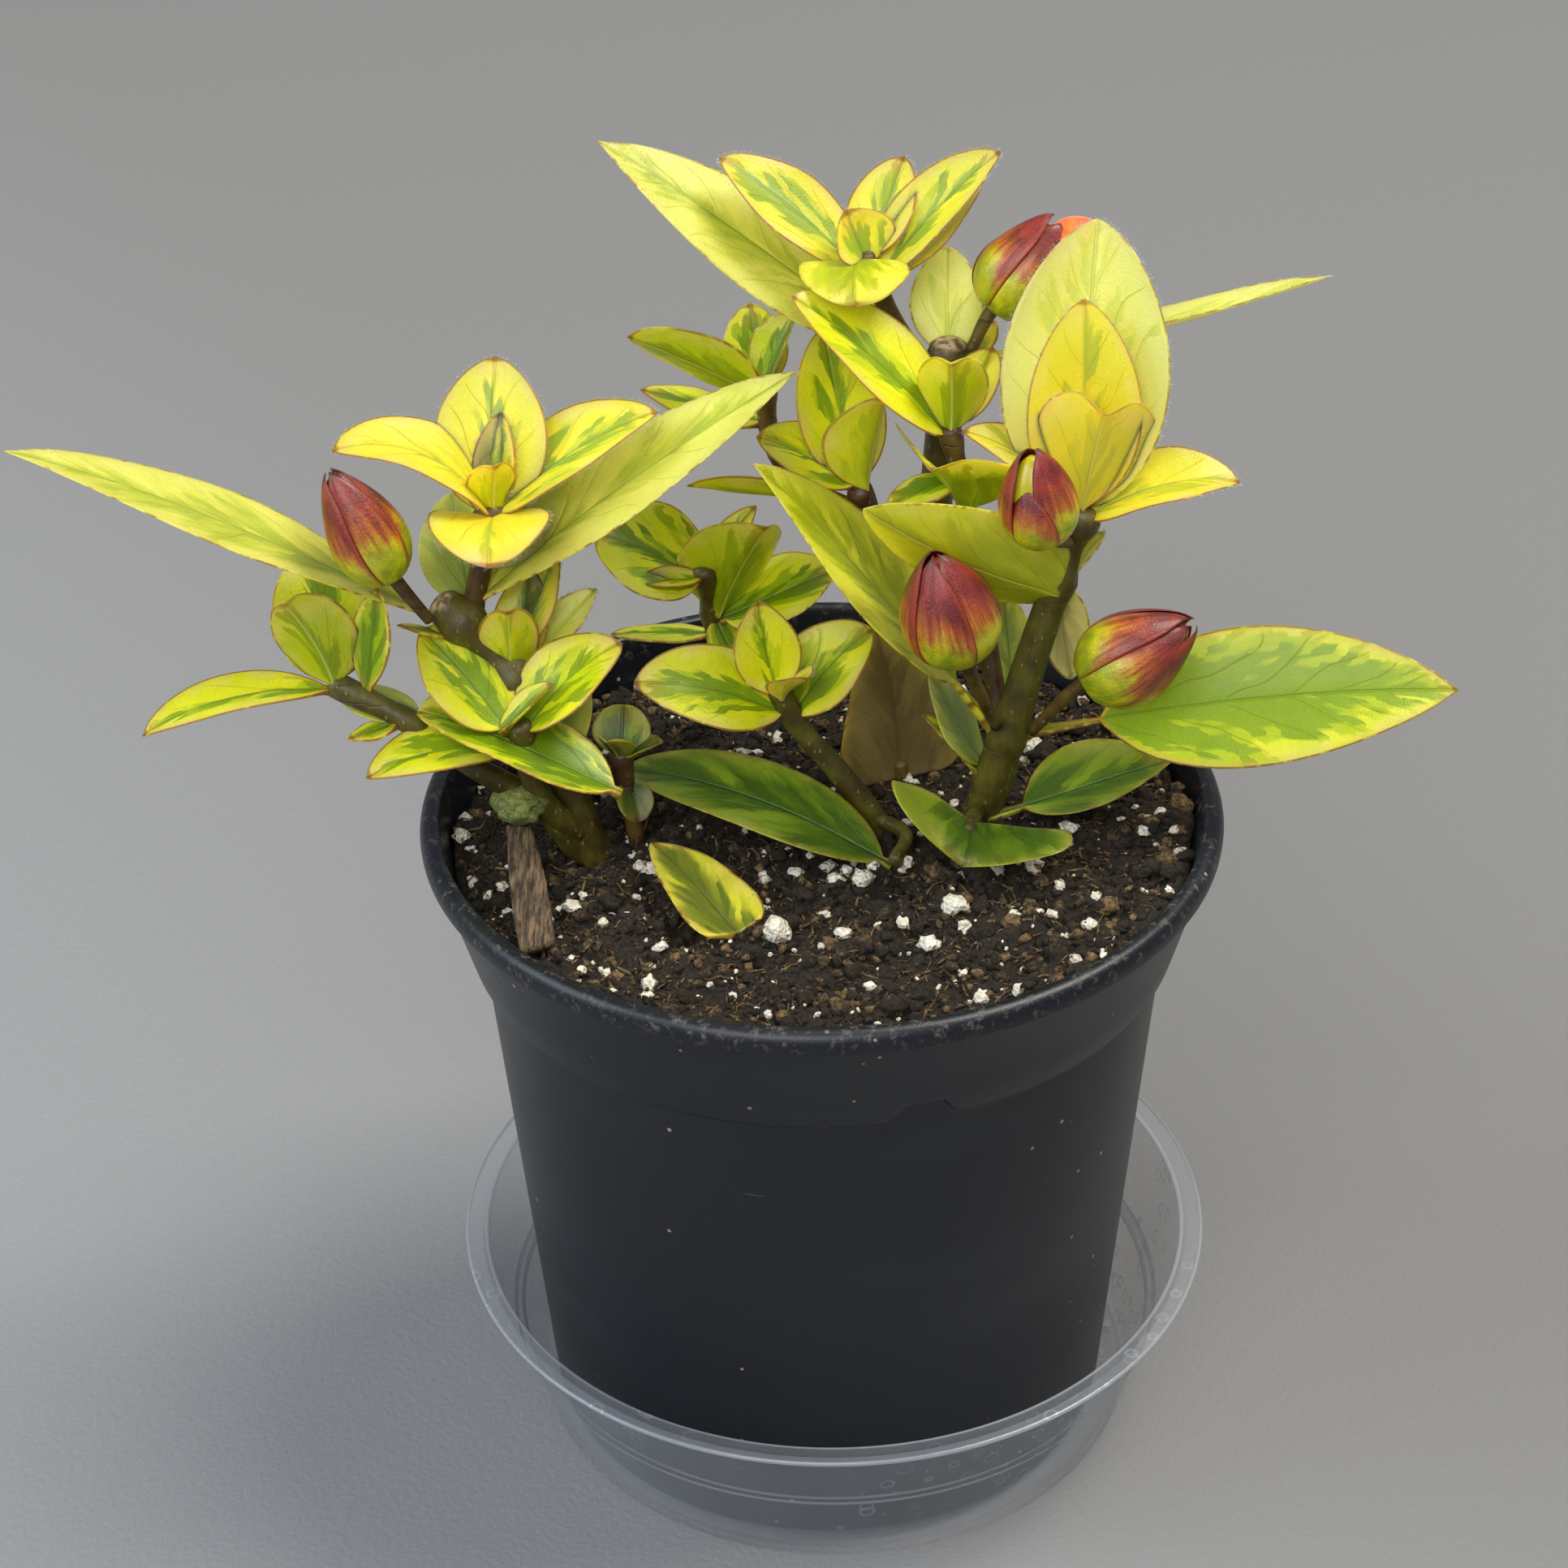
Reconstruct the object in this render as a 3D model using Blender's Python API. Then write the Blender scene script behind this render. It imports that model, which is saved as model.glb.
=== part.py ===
"""Variegated goldfish plant in a round nursery pot that stands in a clear saucer.

Lengths below are millimetres and angles are degrees, and MM turns them into
Blender's metres. The origin is on the pot's axis, at the flat underside of the
saucer. +Z is up, -Y is the front, and the longest leaf points to -X.
"""
import math

import bmesh
import bpy
import numpy as np
from mathutils import Vector

MM = 0.001
GAP = 0.3
SEGMENTS = 40
SOIL_SEGMENTS = 34
SOIL_RINGS = 8

# Saucer: a tapered dish with a step half way up its wall and a flat rim.
SAUCER_X = 1.2
SAUCER_HEIGHT = 30.4
SAUCER_RIM_RADIUS = 59.2
SAUCER_RIM_WIDTH = 2.8
SAUCER_RIM_THICKNESS = 1.0
SAUCER_STEP_LOW = 14.7
SAUCER_STEP_HIGH = 15.5
SAUCER_STEP_RADIUS = 52.1
SAUCER_STEP = 0.6
SAUCER_FOOT_RADIUS = 47.9
SAUCER_FOOT_CHAMFER = 1.2
SAUCER_INNER_CHAMFER = 1.0
SAUCER_WALL = 0.9
SAUCER_FLOOR = 1.2

# Pot: lip, collar and tapered body, with drain holes in its floor.
POT_BASE_Z = SAUCER_FLOOR + GAP
POT_TOP_Z = 109.3
LIP_RADIUS = 60.0
LIP_HEIGHT = 3.6
LIP_CHAMFER = 0.5
LIP_ROUND = 1.2
MOUTH_RADIUS = 57.0
MOUTH_CHAMFER = 0.5
COLLAR_TOP_RADIUS = 58.5
COLLAR_FOOT_RADIUS = 53.7
COLLAR_FOOT_Z = 88.5
COLLAR_SLANT = 0.6
BODY_TOP_RADIUS = 51.9
BODY_FOOT_RADIUS = 44.6
POT_WALL = 1.3
POT_FLOOR = 1.6
CONE_TOP_RADIUS = 50.9
CONE_TOP_Z = 93.0
FLARE_TOP_RADIUS = 54.0
FLARE_TOP_Z = 96.5
FOOT_ROUND = 2.0
DRAIN_HOLES = 6
DRAIN_RADIUS = 4.0
DRAIN_CIRCLE = 27.0
NOTCH_WIDTH = 8.2
NOTCH_HEIGHT = 3.4
NOTCH_TAPER = 1.6
NOTCH_ANGLE = -75.0
NOTCH_BACK_RADIUS = 52.6
CUT_MARGIN = 2.0

# Soil: it fills the pot, a little lower at the back left than at the front, and
# lies in low mounds about 18 mm apart.
SOIL_LEVEL = 103.7
SOIL_RISE = 2.0
SOIL_MOUND = 0.75
SOIL_PLAY = 0.5
HOLE_PLAY = 0.5
HOLE_TOP_Z = 110.0

LEAF_THICKNESS = 0.7
LEAF_END_WIDTH = 1.3
FLATTEST_ARCH = 0.5

# A blade's form: how full it is at its base, how full at its tip, and the
# share of its length that is bare stalk.
LANCE = (0.95, 1.05, 0.06)
OVAL = (0.65, 0.80, 0.04)
ROUND = (0.50, 0.62, 0.05)
STALKED = (0.62, 0.95, 0.20)
SLIM = (0.80, 0.85, 0.10)
BROAD_TIP = (0.80, 0.55, 0.12)
BROAD_FOOT = (0.22, 0.80, 0.00)

# Each shoot has stems, as (points, radius at the foot, radius at the end), and
# leaves, as (base point, heading, rise, length, width, arch, fold, roll, form).
# Heading is the compass angle of the line from base to tip, 0 to +X and 90 to
# +Y, and rise is its slope. Arch bends the leaf down over its length, fold
# lifts both halves beside the midrib, and roll turns the blade about its length.
SHOOTS = {
    "left_shoot": {
        "stems": [
            ([(-33.5, -4, 96), (-35.5, -4, 106), (-38.5, -3, 117), (-44, -2, 130.5),
              (-50, -1, 139), (-54, -1, 143.5)], 3.2, 2.8),
            ([(-51, 0, 139), (-48.5, 2, 149), (-46.8, 3, 157)], 1.8, 1.4),
            ([(-35.5, -4.5, 104.5), (-41, -7, 113), (-45.6, -8, 117), (-51, -9, 121.5),
              (-59.6, -8, 128.4), (-70, -6, 133.5)], 2.4, 1.4),
            ([(-36, -5, 107), (-40, -8, 113), (-42.5, -9, 120), (-43.5, -10, 128.5)], 2.2, 1.6),
        ],
        "leaves": [
            ((-53, -1, 140), 188, 30, 70, 15, 10, 6, -5, LANCE),
            ((-52, 0, 141), 10, 35, 62, 16, 8, 8, 14, LANCE),
            ((-53, -2, 139), 200, 25, 9, 3, 0, 0, 0, OVAL),
            ((-50.5, 2, 141), 105, 52, 18, 13, 15, 0, 0, OVAL),
            ((-47.5, 3, 147), 35, 48, 21, 12, 10, 0, 20, OVAL),
            ((-46.8, 3.5, 155), 85, 62, 24, 17, 25, 10, 0, OVAL),
            ((-46.8, 3, 155), 188, 31, 26, 14, 90, 12, -10, OVAL),
            ((-46.5, 3, 155.5), 10, 31, 29, 14, 32, 18, 15, OVAL),
            ((-46.6, 3.5, 156), 75, 66, 15, 7, 0, 20, 0, OVAL),
            ((-46.6, 2.5, 156), -70, 72, 11, 8, 20, 20, 0, ROUND),
            ((-46.5, 2, 156), -88, 2, 16, 18, 50, 15, 0, ROUND),
            ((-45, -3, 131.5), -80, 78, 15, 9.5, 20, 15, 0, ROUND),
            ((-44.5, -1, 132), 70, 60, 16, 9, 0, 10, 0, OVAL),
            ((-44.5, 0, 134), 45, 58, 18, 9, 0, 10, 0, OVAL),
            ((-44, -2, 131.5), 35, 37, 18, 7, 0, 25, 20, SLIM),
            ((-68, -6, 132), 196, -3, 31, 10, 50, 12, -5, SLIM),
            ((-70, -6.5, 133.5), 195, 67, 17, 13, 25, 20, 75, ROUND),
            ((-70, -4.5, 132.5), 112, 50, 20, 15, 20, 10, 0, ROUND),
            ((-65.5, -7, 131.5), 45, 78, 18, 7, 0, 15, 20, SLIM),
            ((-58, -6.5, 128), 160, 10, 14, 9, 0, 0, 0, OVAL),
            ((-61, -8.5, 128.5), 205, -5, 8, 5, 0, 0, 0, OVAL),
            ((-45, -10, 127.5), 150, 43, 20, 16, 10, 15, -15, OVAL),
            ((-29, -14.5, 119.5), 170, 22, 33, 15, 10, 15, -5, ROUND),
            ((-46, -11, 128), 15, 42, 11, 6, 0, 30, 0, OVAL),
            ((-43, -10, 127), 30, 32, 20, 13, 45, 18, 15, OVAL),
            ((-44.5, -10.5, 124.5), 193, -3, 22, 11, 50, 12, -10, OVAL),
            ((-41.5, -6, 118), 66, 36, 17, 10, 0, 0, 0, ROUND),
        ],
    },
    "small_shoot": {
        "stems": [([(-27, -4, 97), (-28, -4, 108), (-29.5, -3, 119)], 1.5, 1.2)],
        "leaves": [
            ((-29.5, -2.5, 118.5), 85, 55, 8, 9, 0, 10, 0, ROUND),
            ((-29, -3, 118.5), -10, 30, 7, 5, 0, 20, 0, OVAL),
            ((-29.5, -3, 118.5), -110, 50, 8, 6, 20, 20, 0, ROUND),
            ((-28.5, -3, 115), -70, -50, 7, 6, 0, 20, 0, ROUND),
        ],
    },
    "right_shoot": {
        "stems": [
            ([(23.5, 3, 95), (24.5, 2, 106), (28, 0, 121), (31.5, 0, 135), (34.5, 0, 146),
              (37, 1, 155.5)], 3.3, 2.0),
            ([(27, 1, 119), (24, 7, 138), (21.7, 8, 152.8), (19.2, 10, 165)], 1.6, 1.3),
            ([(24, 1, 106.5), (22.5, -5, 108.5), (21.5, -10, 109.5)], 1.3, 1.1),
        ],
        "leaves": [
            ((29, -0.5, 120), -3, 8, 66, 22, 12, 8, 40, STALKED),
            ((26, 0, 120), 176, 52, 57.5, 20, 8, 10, -11, STALKED),
            ((24.5, 2, 113), 158, 58, 17, 10, 0, 0, 0, OVAL),
            ((24, 1, 112), 175, 50, 14, 5, 0, 15, 0, OVAL),
            ((28.5, 3, 124), 100, 60, 17, 8, 0, 0, 0, OVAL),
            ((34, 1, 146), 0, -80, 18, 8, 0, 15, 70, OVAL),
            ((34.4, -2, 145.2), 198, 33, 35.8, 19.5, -20, 25, 68, BROAD_FOOT),
            ((35.5, 0.5, 146), 20, 46, 9, 5, 0, 15, 0, OVAL),
            ((37.5, 2.5, 154), 81, 68, 44, 25, 15, 15, 0, OVAL),
            ((37.5, 1.8, 155.5), 88, 77, 32, 17, 12, 15, 0, OVAL),
            ((37.4, 0.5, 155), -10, 80, 21, 18.5, 6, 20, -80, BROAD_TIP),
            ((37.5, 1, 154.5), 5, 13, 24, 13, 50, 18, 12, OVAL),
            ((36.8, 2.2, 154.8), 166, 36, 21, 9, 60, 15, -15, OVAL),
            ((37.5, 3, 155.5), 38, 37, 19, 7, 0, 15, 0, OVAL),
            ((19.3, 10, 163.5), 170, 43, 32, 17, 18, 12, -12, OVAL),
            ((19.3, 9.5, 165), -95, 80, 13, 12, 30, 30, 0, ROUND),
            ((19.5, 11, 165), 55, 38, 14, 9, 0, 10, 0, OVAL),
            ((21.7, 7.5, 152.5), -130, 54, 16.5, 24, 20, 22, 0, BROAD_TIP),
            ((20.5, 9, 158), 205, -10, 12, 8, 20, 0, 0, OVAL),
            ((22.3, -6, 108.8), -97, 4, 15, 31, 16, 26, -17, BROAD_TIP),
            ((25, -0.5, 105.2), 6, 17, 29.5, 15, 0, 20, 12, STALKED),
        ],
    },
    "front_shoot": {
        "stems": [
            ([(9, -1, 95), (8.5, -1, 105), (2, -0.5, 115), (-3, 0, 121.5), (-6, 0, 128)], 2.3, 1.4),
            ([(8.5, -1.5, 106.2), (12.5, -6, 106.3), (10.8, -12.6, 106.1)], 1.3, 1.1),
        ],
        "leaves": [
            ((-6, 0, 127), 155, 79, 16, 10.5, -15, 15, -55, OVAL),
            ((-6, -1, 127.5), -50, 42, 10, 8, 20, 25, 0, OVAL),
            ((-5, -0.5, 124), 188, 19, 24, 14, 35, 12, -34, OVAL),
            ((-4, 0.5, 123), 25, 42, 18, 14, 35, 15, 18, OVAL),
            ((10.2, -13.0, 105.3), 156, 8, 45.5, 15, 32, 10, -10, OVAL),
        ],
    },
    "back_shoot": {
        "stems": [
            ([(14, 24, 94), (14.3, 24, 106), (15, 24, 120), (18, 24, 150), (19.5, 24.5, 171)], 3.0, 2.6),
            ([(18.5, 24.5, 164), (12, 26, 174), (7.1, 26, 185)], 1.7, 1.3),
            ([(15.5, 24, 126), (11, 19, 141), (6.2, 14, 153.5)], 1.6, 1.3),
            ([(16, 24, 136), (2, 28, 144), (-6, 30, 151), (-7.8, 30, 163)], 1.6, 1.3),
        ],
        "leaves": [
            ((18, 24.5, 165.5), 171, 36, 62, 17.5, 5, 6, -24, LANCE),
            ((20, 24.5, 169), 0, 14, 57, 12, -17, 15, -12, LANCE),
            ((19.5, 25.5, 169), 90, 55, 17, 11, 0, 0, 0, OVAL),
            ((20, 24.5, 168), 40, 30, 10, 7, 0, 0, 0, OVAL),
            ((7, 26.3, 182.5), 165, 37, 27, 12.5, 10, 12, -22, OVAL),
            ((7.6, 25.2, 184), 150, 66, 9, 12, 0, 24, -20, OVAL),
            ((7.5, 26.5, 184), 60, 48, 17, 11, 0, 15, 0, OVAL),
            ((8.5, 25.5, 181), 12, 45, 27, 12, 12, 25, 24, OVAL),
            ((9, 26.8, 180.5), 20, 40, 22, 15, 0, 10, 0, OVAL),
            ((6, 25.2, 184.5), -92, -5, 13, 16, 60, 5, 0, ROUND),
            ((5.6, 14.5, 153), 110, 58, 25, 14, 0, 10, 0, OVAL),
            ((6, 14, 154), 170, 26, 17, 12.5, 20, 12, -15, OVAL),
            ((6.8, 13.5, 153.5), 5, 78, 16, 15, 10, 35, -50, OVAL),
            ((7.2, 14.8, 151.3), 182, 8, 27, 9, 0, 12, 45, SLIM),
            ((-7.5, 30, 161), 178, 26, 23, 12, 12, 15, 60, OVAL),
            ((-8, 30.5, 161.5), 102, 51, 14, 10, 0, 10, 0, OVAL),
            ((-7.8, 30, 162), 30, 62, 13, 10, 0, 35, 0, OVAL),
            ((-7.5, 30.5, 156), 172, 15, 20, 10, 0, 0, 0, OVAL),
        ],
    },
    "back_left_shoot": {
        "stems": [
            ([(-12, 36, 95), (-13, 34, 105), (-14, 31, 114), (-16, 26, 124), (-17.2, 22, 136)], 1.9, 1.4),
        ],
        "leaves": [
            ((-17, 22, 134), 178, 27, 19, 17, 15, 10, -30, ROUND),
            ((-17.3, 21.5, 135), 205, 10, 11, 5, 0, 20, -20, OVAL),
            ((-17, 22, 135.5), 35, 42, 13, 5.5, 0, 25, 20, OVAL),
            ((-15.5, 23.5, 127.5), -28, 63, 20, 19, 10, 28, -38, OVAL),
            ((-15, 24, 126), 5, 24, 20, 14, 0, 12, 20, OVAL),
            ((-16, 24.5, 126), -60, -30, 9, 6, 0, 0, 0, OVAL),
            ((-15.5, 27, 122), 178, 0, 17, 6, 0, 0, 0, OVAL),
        ],
    },
    "dry_leaf": {
        "stems": [([(12.3, 14, 97), (12.2, 14, 106)], 1.3, 1.1)],
        "leaves": [((12.2, 14, 103.9), 178, 82, 27, 20, 12, 10, -70, BROAD_FOOT)],
    },
    "yellow_leaf": {
        "stems": [([(-12.6, -27.6, 98), (-12.8, -27.2, 106)], 1.2, 1.0)],
        "leaves": [((-12.2, -30.6, 105.7), 122, 6, 25, 12.5, 14, 14, 0, BROAD_FOOT)],
    },
}

# Buds: foot of the stalk, base of the calyx, heading, rise, length, width.
BUDS = {
    "left_bud": ((-55.9, -4.4, 143.2), (-60.6, -6, 151), 176, 66, 18, 10.5),
    "crown_bud": ((36, -1.55, 153), (31.8, -8.5, 157), 205, 80, 15.5, 10.5),
    "middle_bud": ((25.8, -3.1, 123.2), (20.2, -12.5, 140.7), 205, 76, 18, 13.5),
    "right_bud": ((31, -2.7, 122), (37.8, -8.5, 133.8), 2, 31, 18, 13),
    "open_bud": ((22.6, 22.5, 171.6), (25.6, 24, 177.5), 12, 52, 16, 12),
}
BUD_LOBES = 5
BUD_LOBE_DEPTH = 0.07
BUD_STALK_RADII = (0.9, 1.1)
COROLLA_RADII = (5.6, 4.2, 4.6)
COROLLA_SHIFT = (3.6, 0.0, -1.8)

# Bark strip: its foot rests on the soil at the front left and it leans up to the callus.
BARK_ENDS = ((-40.6, -33.5, 104.9), (-44.2, -11.6, 110.9))
BARK_WIDTH = 4.8
BARK_THICKNESS = 1.8
BARK_SLANT = 1.0

# Green callus on the old stem of the left shoot: centre and radii.
CALLUS = ((-44.5, -8.8, 115.3), (3.0, 2.6, 2.4))

# Perlite: place on the soil as x and y, and size.
PERLITE = [
    (-31, 30, 5.2), (46, 10, 3.6), (-24.5, -12, 3.0), (-36.5, -21, 2.4), (-6.5, -30, 3.4),
    (19, -24, 3.2), (24.5, -14, 3.4), (31, -12.5, 2.8), (6, -16, 3.0), (15, -33, 2.6),
    (3, -29, 2.2), (37, -3, 2.4), (33, 20, 3.0), (-2, 43, 3.2),
]

LIME = (0.47, 0.55, 0.03)
BROWN = (0.16, 0.10, 0.035)
RED = (0.22, 0.04, 0.03)
ORANGE = (0.80, 0.13, 0.01)
CLEAR = (0.80, 0.83, 0.85)
CHARCOAL = (0.018, 0.021, 0.026)
PEAT = (0.030, 0.018, 0.011)
BARK = (0.10, 0.055, 0.03)


def clear_scene():
    for obj in list(bpy.data.objects):
        bpy.data.objects.remove(obj, do_unlink=True)


def material(name, colour, roughness, alpha=1.0):
    mat = bpy.data.materials.new(name)
    mat.use_nodes = True
    shader = mat.node_tree.nodes["Principled BSDF"]
    shader.inputs["Base Color"].default_value = (*colour, 1.0)
    shader.inputs["Roughness"].default_value = roughness
    shader.inputs["Metallic"].default_value = 0.0
    shader.inputs["Alpha"].default_value = alpha
    return mat


def mesh_object(name, points, faces, mat=None):
    """An object from points in millimetres and faces, linked to the scene."""
    mesh = bpy.data.meshes.new(name)
    mesh.from_pydata([tuple(p * MM) for p in np.asarray(points, float)], [], faces)
    mesh.update()
    obj = bpy.data.objects.new(name, mesh)
    bpy.context.scene.collection.objects.link(obj)
    if mat:
        mesh.materials.append(mat)
    return obj


def turned(name, outline, segments, mat, centre=(0.0, 0.0)):
    """Spins a closed outline of (radius, height) points about the pot's axis."""
    bm = bmesh.new()
    points = [bm.verts.new((r * MM, 0.0, z * MM)) for r, z in outline]
    edges = [bm.edges.new((a, b)) for a, b in zip(points, points[1:] + points[:1])]
    bmesh.ops.spin(bm, geom=points + edges, cent=(0, 0, 0), axis=(0, 0, 1),
                   angle=2 * math.pi, steps=segments, use_merge=True)
    bmesh.ops.remove_doubles(bm, verts=bm.verts, dist=1e-6)
    bmesh.ops.recalc_face_normals(bm, faces=bm.faces)
    bmesh.ops.translate(bm, verts=bm.verts, vec=(centre[0] * MM, centre[1] * MM, 0))
    mesh = bpy.data.meshes.new(name)
    bm.to_mesh(mesh)
    bm.free()
    obj = bpy.data.objects.new(name, mesh)
    bpy.context.scene.collection.objects.link(obj)
    mesh.materials.append(mat)
    return obj


def bake_modifiers(obj):
    """Keeps the evaluated mesh and drops the modifiers that made it."""
    graph = bpy.context.evaluated_depsgraph_get()
    mesh = bpy.data.meshes.new_from_object(obj.evaluated_get(graph))
    obj.modifiers.clear()
    obj.data = mesh


def combine(obj, others, operation):
    """Joins other objects to this one, or cuts them from it, and removes them."""
    group = bpy.data.collections.new(obj.name + "_helpers")
    bpy.context.scene.collection.children.link(group)
    for other in others:
        bpy.context.scene.collection.objects.unlink(other)
        group.objects.link(other)
    boolean = obj.modifiers.new("combine", "BOOLEAN")
    boolean.operation = operation
    boolean.operand_type = "COLLECTION"
    boolean.collection = group
    bake_modifiers(obj)
    for other in others:
        bpy.data.objects.remove(other, do_unlink=True)
    bpy.data.collections.remove(group)


def directions(heading, rise):
    """Unit vectors along a line, to its left, and square to both."""
    h, r = math.radians(heading), math.radians(rise)
    along = np.array([math.cos(h) * math.cos(r), math.sin(h) * math.cos(r), math.sin(r)])
    side = np.array([-math.sin(h), math.cos(h), 0.0])
    return along, side, np.cross(along, side)


def blade_width(t, form):
    """Share of the full width at t: u^a (1-u)^b over its largest value."""
    low, high, stalk = form
    u = np.clip((t - stalk) / (1 - stalk), 0, 1)
    peak = low / (low + high)
    return u**low * (1 - u)**high / (peak**low * (1 - peak)**high)


def leaf_solid(leaf, mat):
    """A blade along an arc from base to tip, folded about its midrib.

    The midrib is an arc whose chord is the leaf's length. Two grids of points,
    half the thickness above and below it, are closed along the rim.
    """
    base, heading, rise, length, width, arch, fold, roll, form = leaf
    rows, columns = (8, 5) if length > 32 else (6, 3) if length > 14 else (5, 3)
    along, side, up = directions(heading, rise)
    bend = math.radians(arch if abs(arch) > FLATTEST_ARCH else FLATTEST_ARCH)
    t = np.linspace(0, 1, rows)
    radius = length / (2 * math.sin(bend / 2))
    slope = bend / 2 - bend * t
    forward = radius * (math.sin(bend / 2) - np.sin(slope))
    lift = radius * (np.cos(slope) - math.cos(bend / 2))
    midrib = np.array(base) + forward[:, None] * along + lift[:, None] * up
    normal = np.cos(slope)[:, None] * up - np.sin(slope)[:, None] * along
    turn = math.radians(roll)
    across = math.cos(turn) * side + math.sin(turn) * normal
    normal = math.cos(turn) * normal - math.sin(turn) * side
    s = np.linspace(-1, 1, columns)
    half = np.maximum(blade_width(t, form) * width, LEAF_END_WIDTH) / 2
    crease = math.radians(fold)
    sheet = (midrib[:, None]
             + (half[:, None] * s * math.cos(crease))[..., None] * across[:, None]
             + (half[:, None] * abs(s) ** 1.3 * math.sin(crease))[..., None] * normal[:, None])
    offset = LEAF_THICKNESS / 2 * normal[:, None]
    points = np.concatenate([(sheet + offset).reshape(-1, 3), (sheet - offset).reshape(-1, 3)])
    count = rows * columns
    faces = []
    for i in range(rows - 1):
        for j in range(columns - 1):
            a = i * columns + j
            b, c, d = a + 1, a + columns + 1, a + columns
            faces += [(a, c, b), (a, d, c)]
            faces += [(a + count, b + count, c + count), (a + count, c + count, d + count)]
    rim = ([i * columns for i in range(rows)]
           + [(rows - 1) * columns + j for j in range(1, columns)]
           + [i * columns + columns - 1 for i in range(rows - 2, -1, -1)]
           + list(range(columns - 2, 0, -1)))
    for a, b in zip(rim, rim[1:] + rim[:1]):
        faces += [(a, a + count, b + count), (a, b + count, b)]
    return outward(mesh_object("leaf", points, faces, mat))


def outward(obj):
    bm = bmesh.new()
    bm.from_mesh(obj.data)
    bmesh.ops.recalc_face_normals(bm, faces=bm.faces)
    bm.to_mesh(obj.data)
    bm.free()
    return obj


def smooth_path(points, steps=2):
    """A Catmull-Rom curve through the points, with steps to each stretch."""
    p = np.array([points[0], *points, points[-1]], float)
    p[0] = 2 * p[1] - p[2]
    p[-1] = 2 * p[-2] - p[-3]
    path = []
    for i in range(1, len(p) - 2):
        for k in range(steps):
            t = k / steps
            path.append(0.5 * (2 * p[i] + (p[i + 1] - p[i - 1]) * t
                               + (2 * p[i - 1] - 5 * p[i] + 4 * p[i + 1] - p[i + 2]) * t**2
                               + (3 * p[i] - p[i - 1] - 3 * p[i + 1] + p[i + 2]) * t**3))
    path.append(p[-2])
    return np.array(path)


def tube(name, path, foot_radius, end_radius, sides, mat=None):
    """A closed round rod along a path, tapering from foot to end."""
    ahead = np.gradient(path, axis=0)
    ahead /= np.linalg.norm(ahead, axis=1)[:, None]
    first = np.cross(ahead, (0.3, 1.0, 0.2))
    first /= np.linalg.norm(first, axis=1)[:, None]
    second = np.cross(ahead, first)
    angle = 2 * math.pi * np.arange(sides) / sides
    radius = np.linspace(foot_radius, end_radius, len(path))[:, None, None]
    rings = path[:, None] + radius * (np.cos(angle)[:, None] * first[:, None]
                                      + np.sin(angle)[:, None] * second[:, None])
    faces = [tuple(range(sides)), tuple(range((len(path) - 1) * sides, len(path) * sides))]
    for i in range(len(path) - 1):
        for j in range(sides):
            a, b = i * sides + j, i * sides + (j + 1) % sides
            faces.append((a, b, b + sides, a + sides))
    return outward(mesh_object(name, rings.reshape(-1, 3), faces, mat))


def lump(name, centre, radii, mat=None, detail=1, turn=0.0):
    """A faceted egg, whose three radii follow the axes after a turn about Z."""
    bm = bmesh.new()
    bmesh.ops.create_icosphere(bm, subdivisions=detail, radius=MM)
    bmesh.ops.scale(bm, vec=radii, verts=bm.verts)
    for vert in bm.verts:
        x, y, z = vert.co
        vert.co = Vector((x * math.cos(turn) - y * math.sin(turn),
                          x * math.sin(turn) + y * math.cos(turn), z)) + Vector(centre) * MM
    mesh = bpy.data.meshes.new(name)
    bm.to_mesh(mesh)
    bm.free()
    obj = bpy.data.objects.new(name, mesh)
    bpy.context.scene.collection.objects.link(obj)
    if mat:
        mesh.materials.append(mat)
    return obj


def make_shoot(name, shoot, mat):
    pieces = [tube("stem", smooth_path(points), foot, end, 6, mat) for points, foot, end in shoot["stems"]]
    pieces += [leaf_solid(leaf, mat) for leaf in shoot["leaves"]]
    if name == "left_shoot":
        pieces.append(lump("callus", *CALLUS, mat, detail=2))
    body = pieces[0]
    body.name = name
    combine(body, pieces[1:], "UNION")
    body.data.name = name


def make_saucer(mat):
    foot = SAUCER_FOOT_RADIUS - SAUCER_WALL
    wall_top = SAUCER_RIM_RADIUS - SAUCER_RIM_WIDTH
    rim_low = SAUCER_HEIGHT - SAUCER_RIM_THICKNESS
    outline = [
        (0, 0), (SAUCER_FOOT_RADIUS - SAUCER_FOOT_CHAMFER, 0), (SAUCER_FOOT_RADIUS, SAUCER_FOOT_CHAMFER),
        (SAUCER_STEP_RADIUS - SAUCER_STEP, SAUCER_STEP_LOW), (SAUCER_STEP_RADIUS, SAUCER_STEP_HIGH),
        (wall_top, rim_low - SAUCER_WALL / 4), (SAUCER_RIM_RADIUS, rim_low),
        (SAUCER_RIM_RADIUS, SAUCER_HEIGHT), (wall_top - SAUCER_WALL, SAUCER_HEIGHT),
        (SAUCER_STEP_RADIUS - SAUCER_WALL, SAUCER_STEP_HIGH + SAUCER_WALL / 2),
        (SAUCER_STEP_RADIUS - SAUCER_STEP - SAUCER_WALL, SAUCER_STEP_LOW + SAUCER_WALL / 2),
        (foot + SAUCER_WALL / 4, SAUCER_FLOOR + SAUCER_INNER_CHAMFER),
        (foot - SAUCER_INNER_CHAMFER, SAUCER_FLOOR), (0, SAUCER_FLOOR),
    ]
    turned("saucer", outline, SEGMENTS, mat, (SAUCER_X, 0.0))


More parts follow.
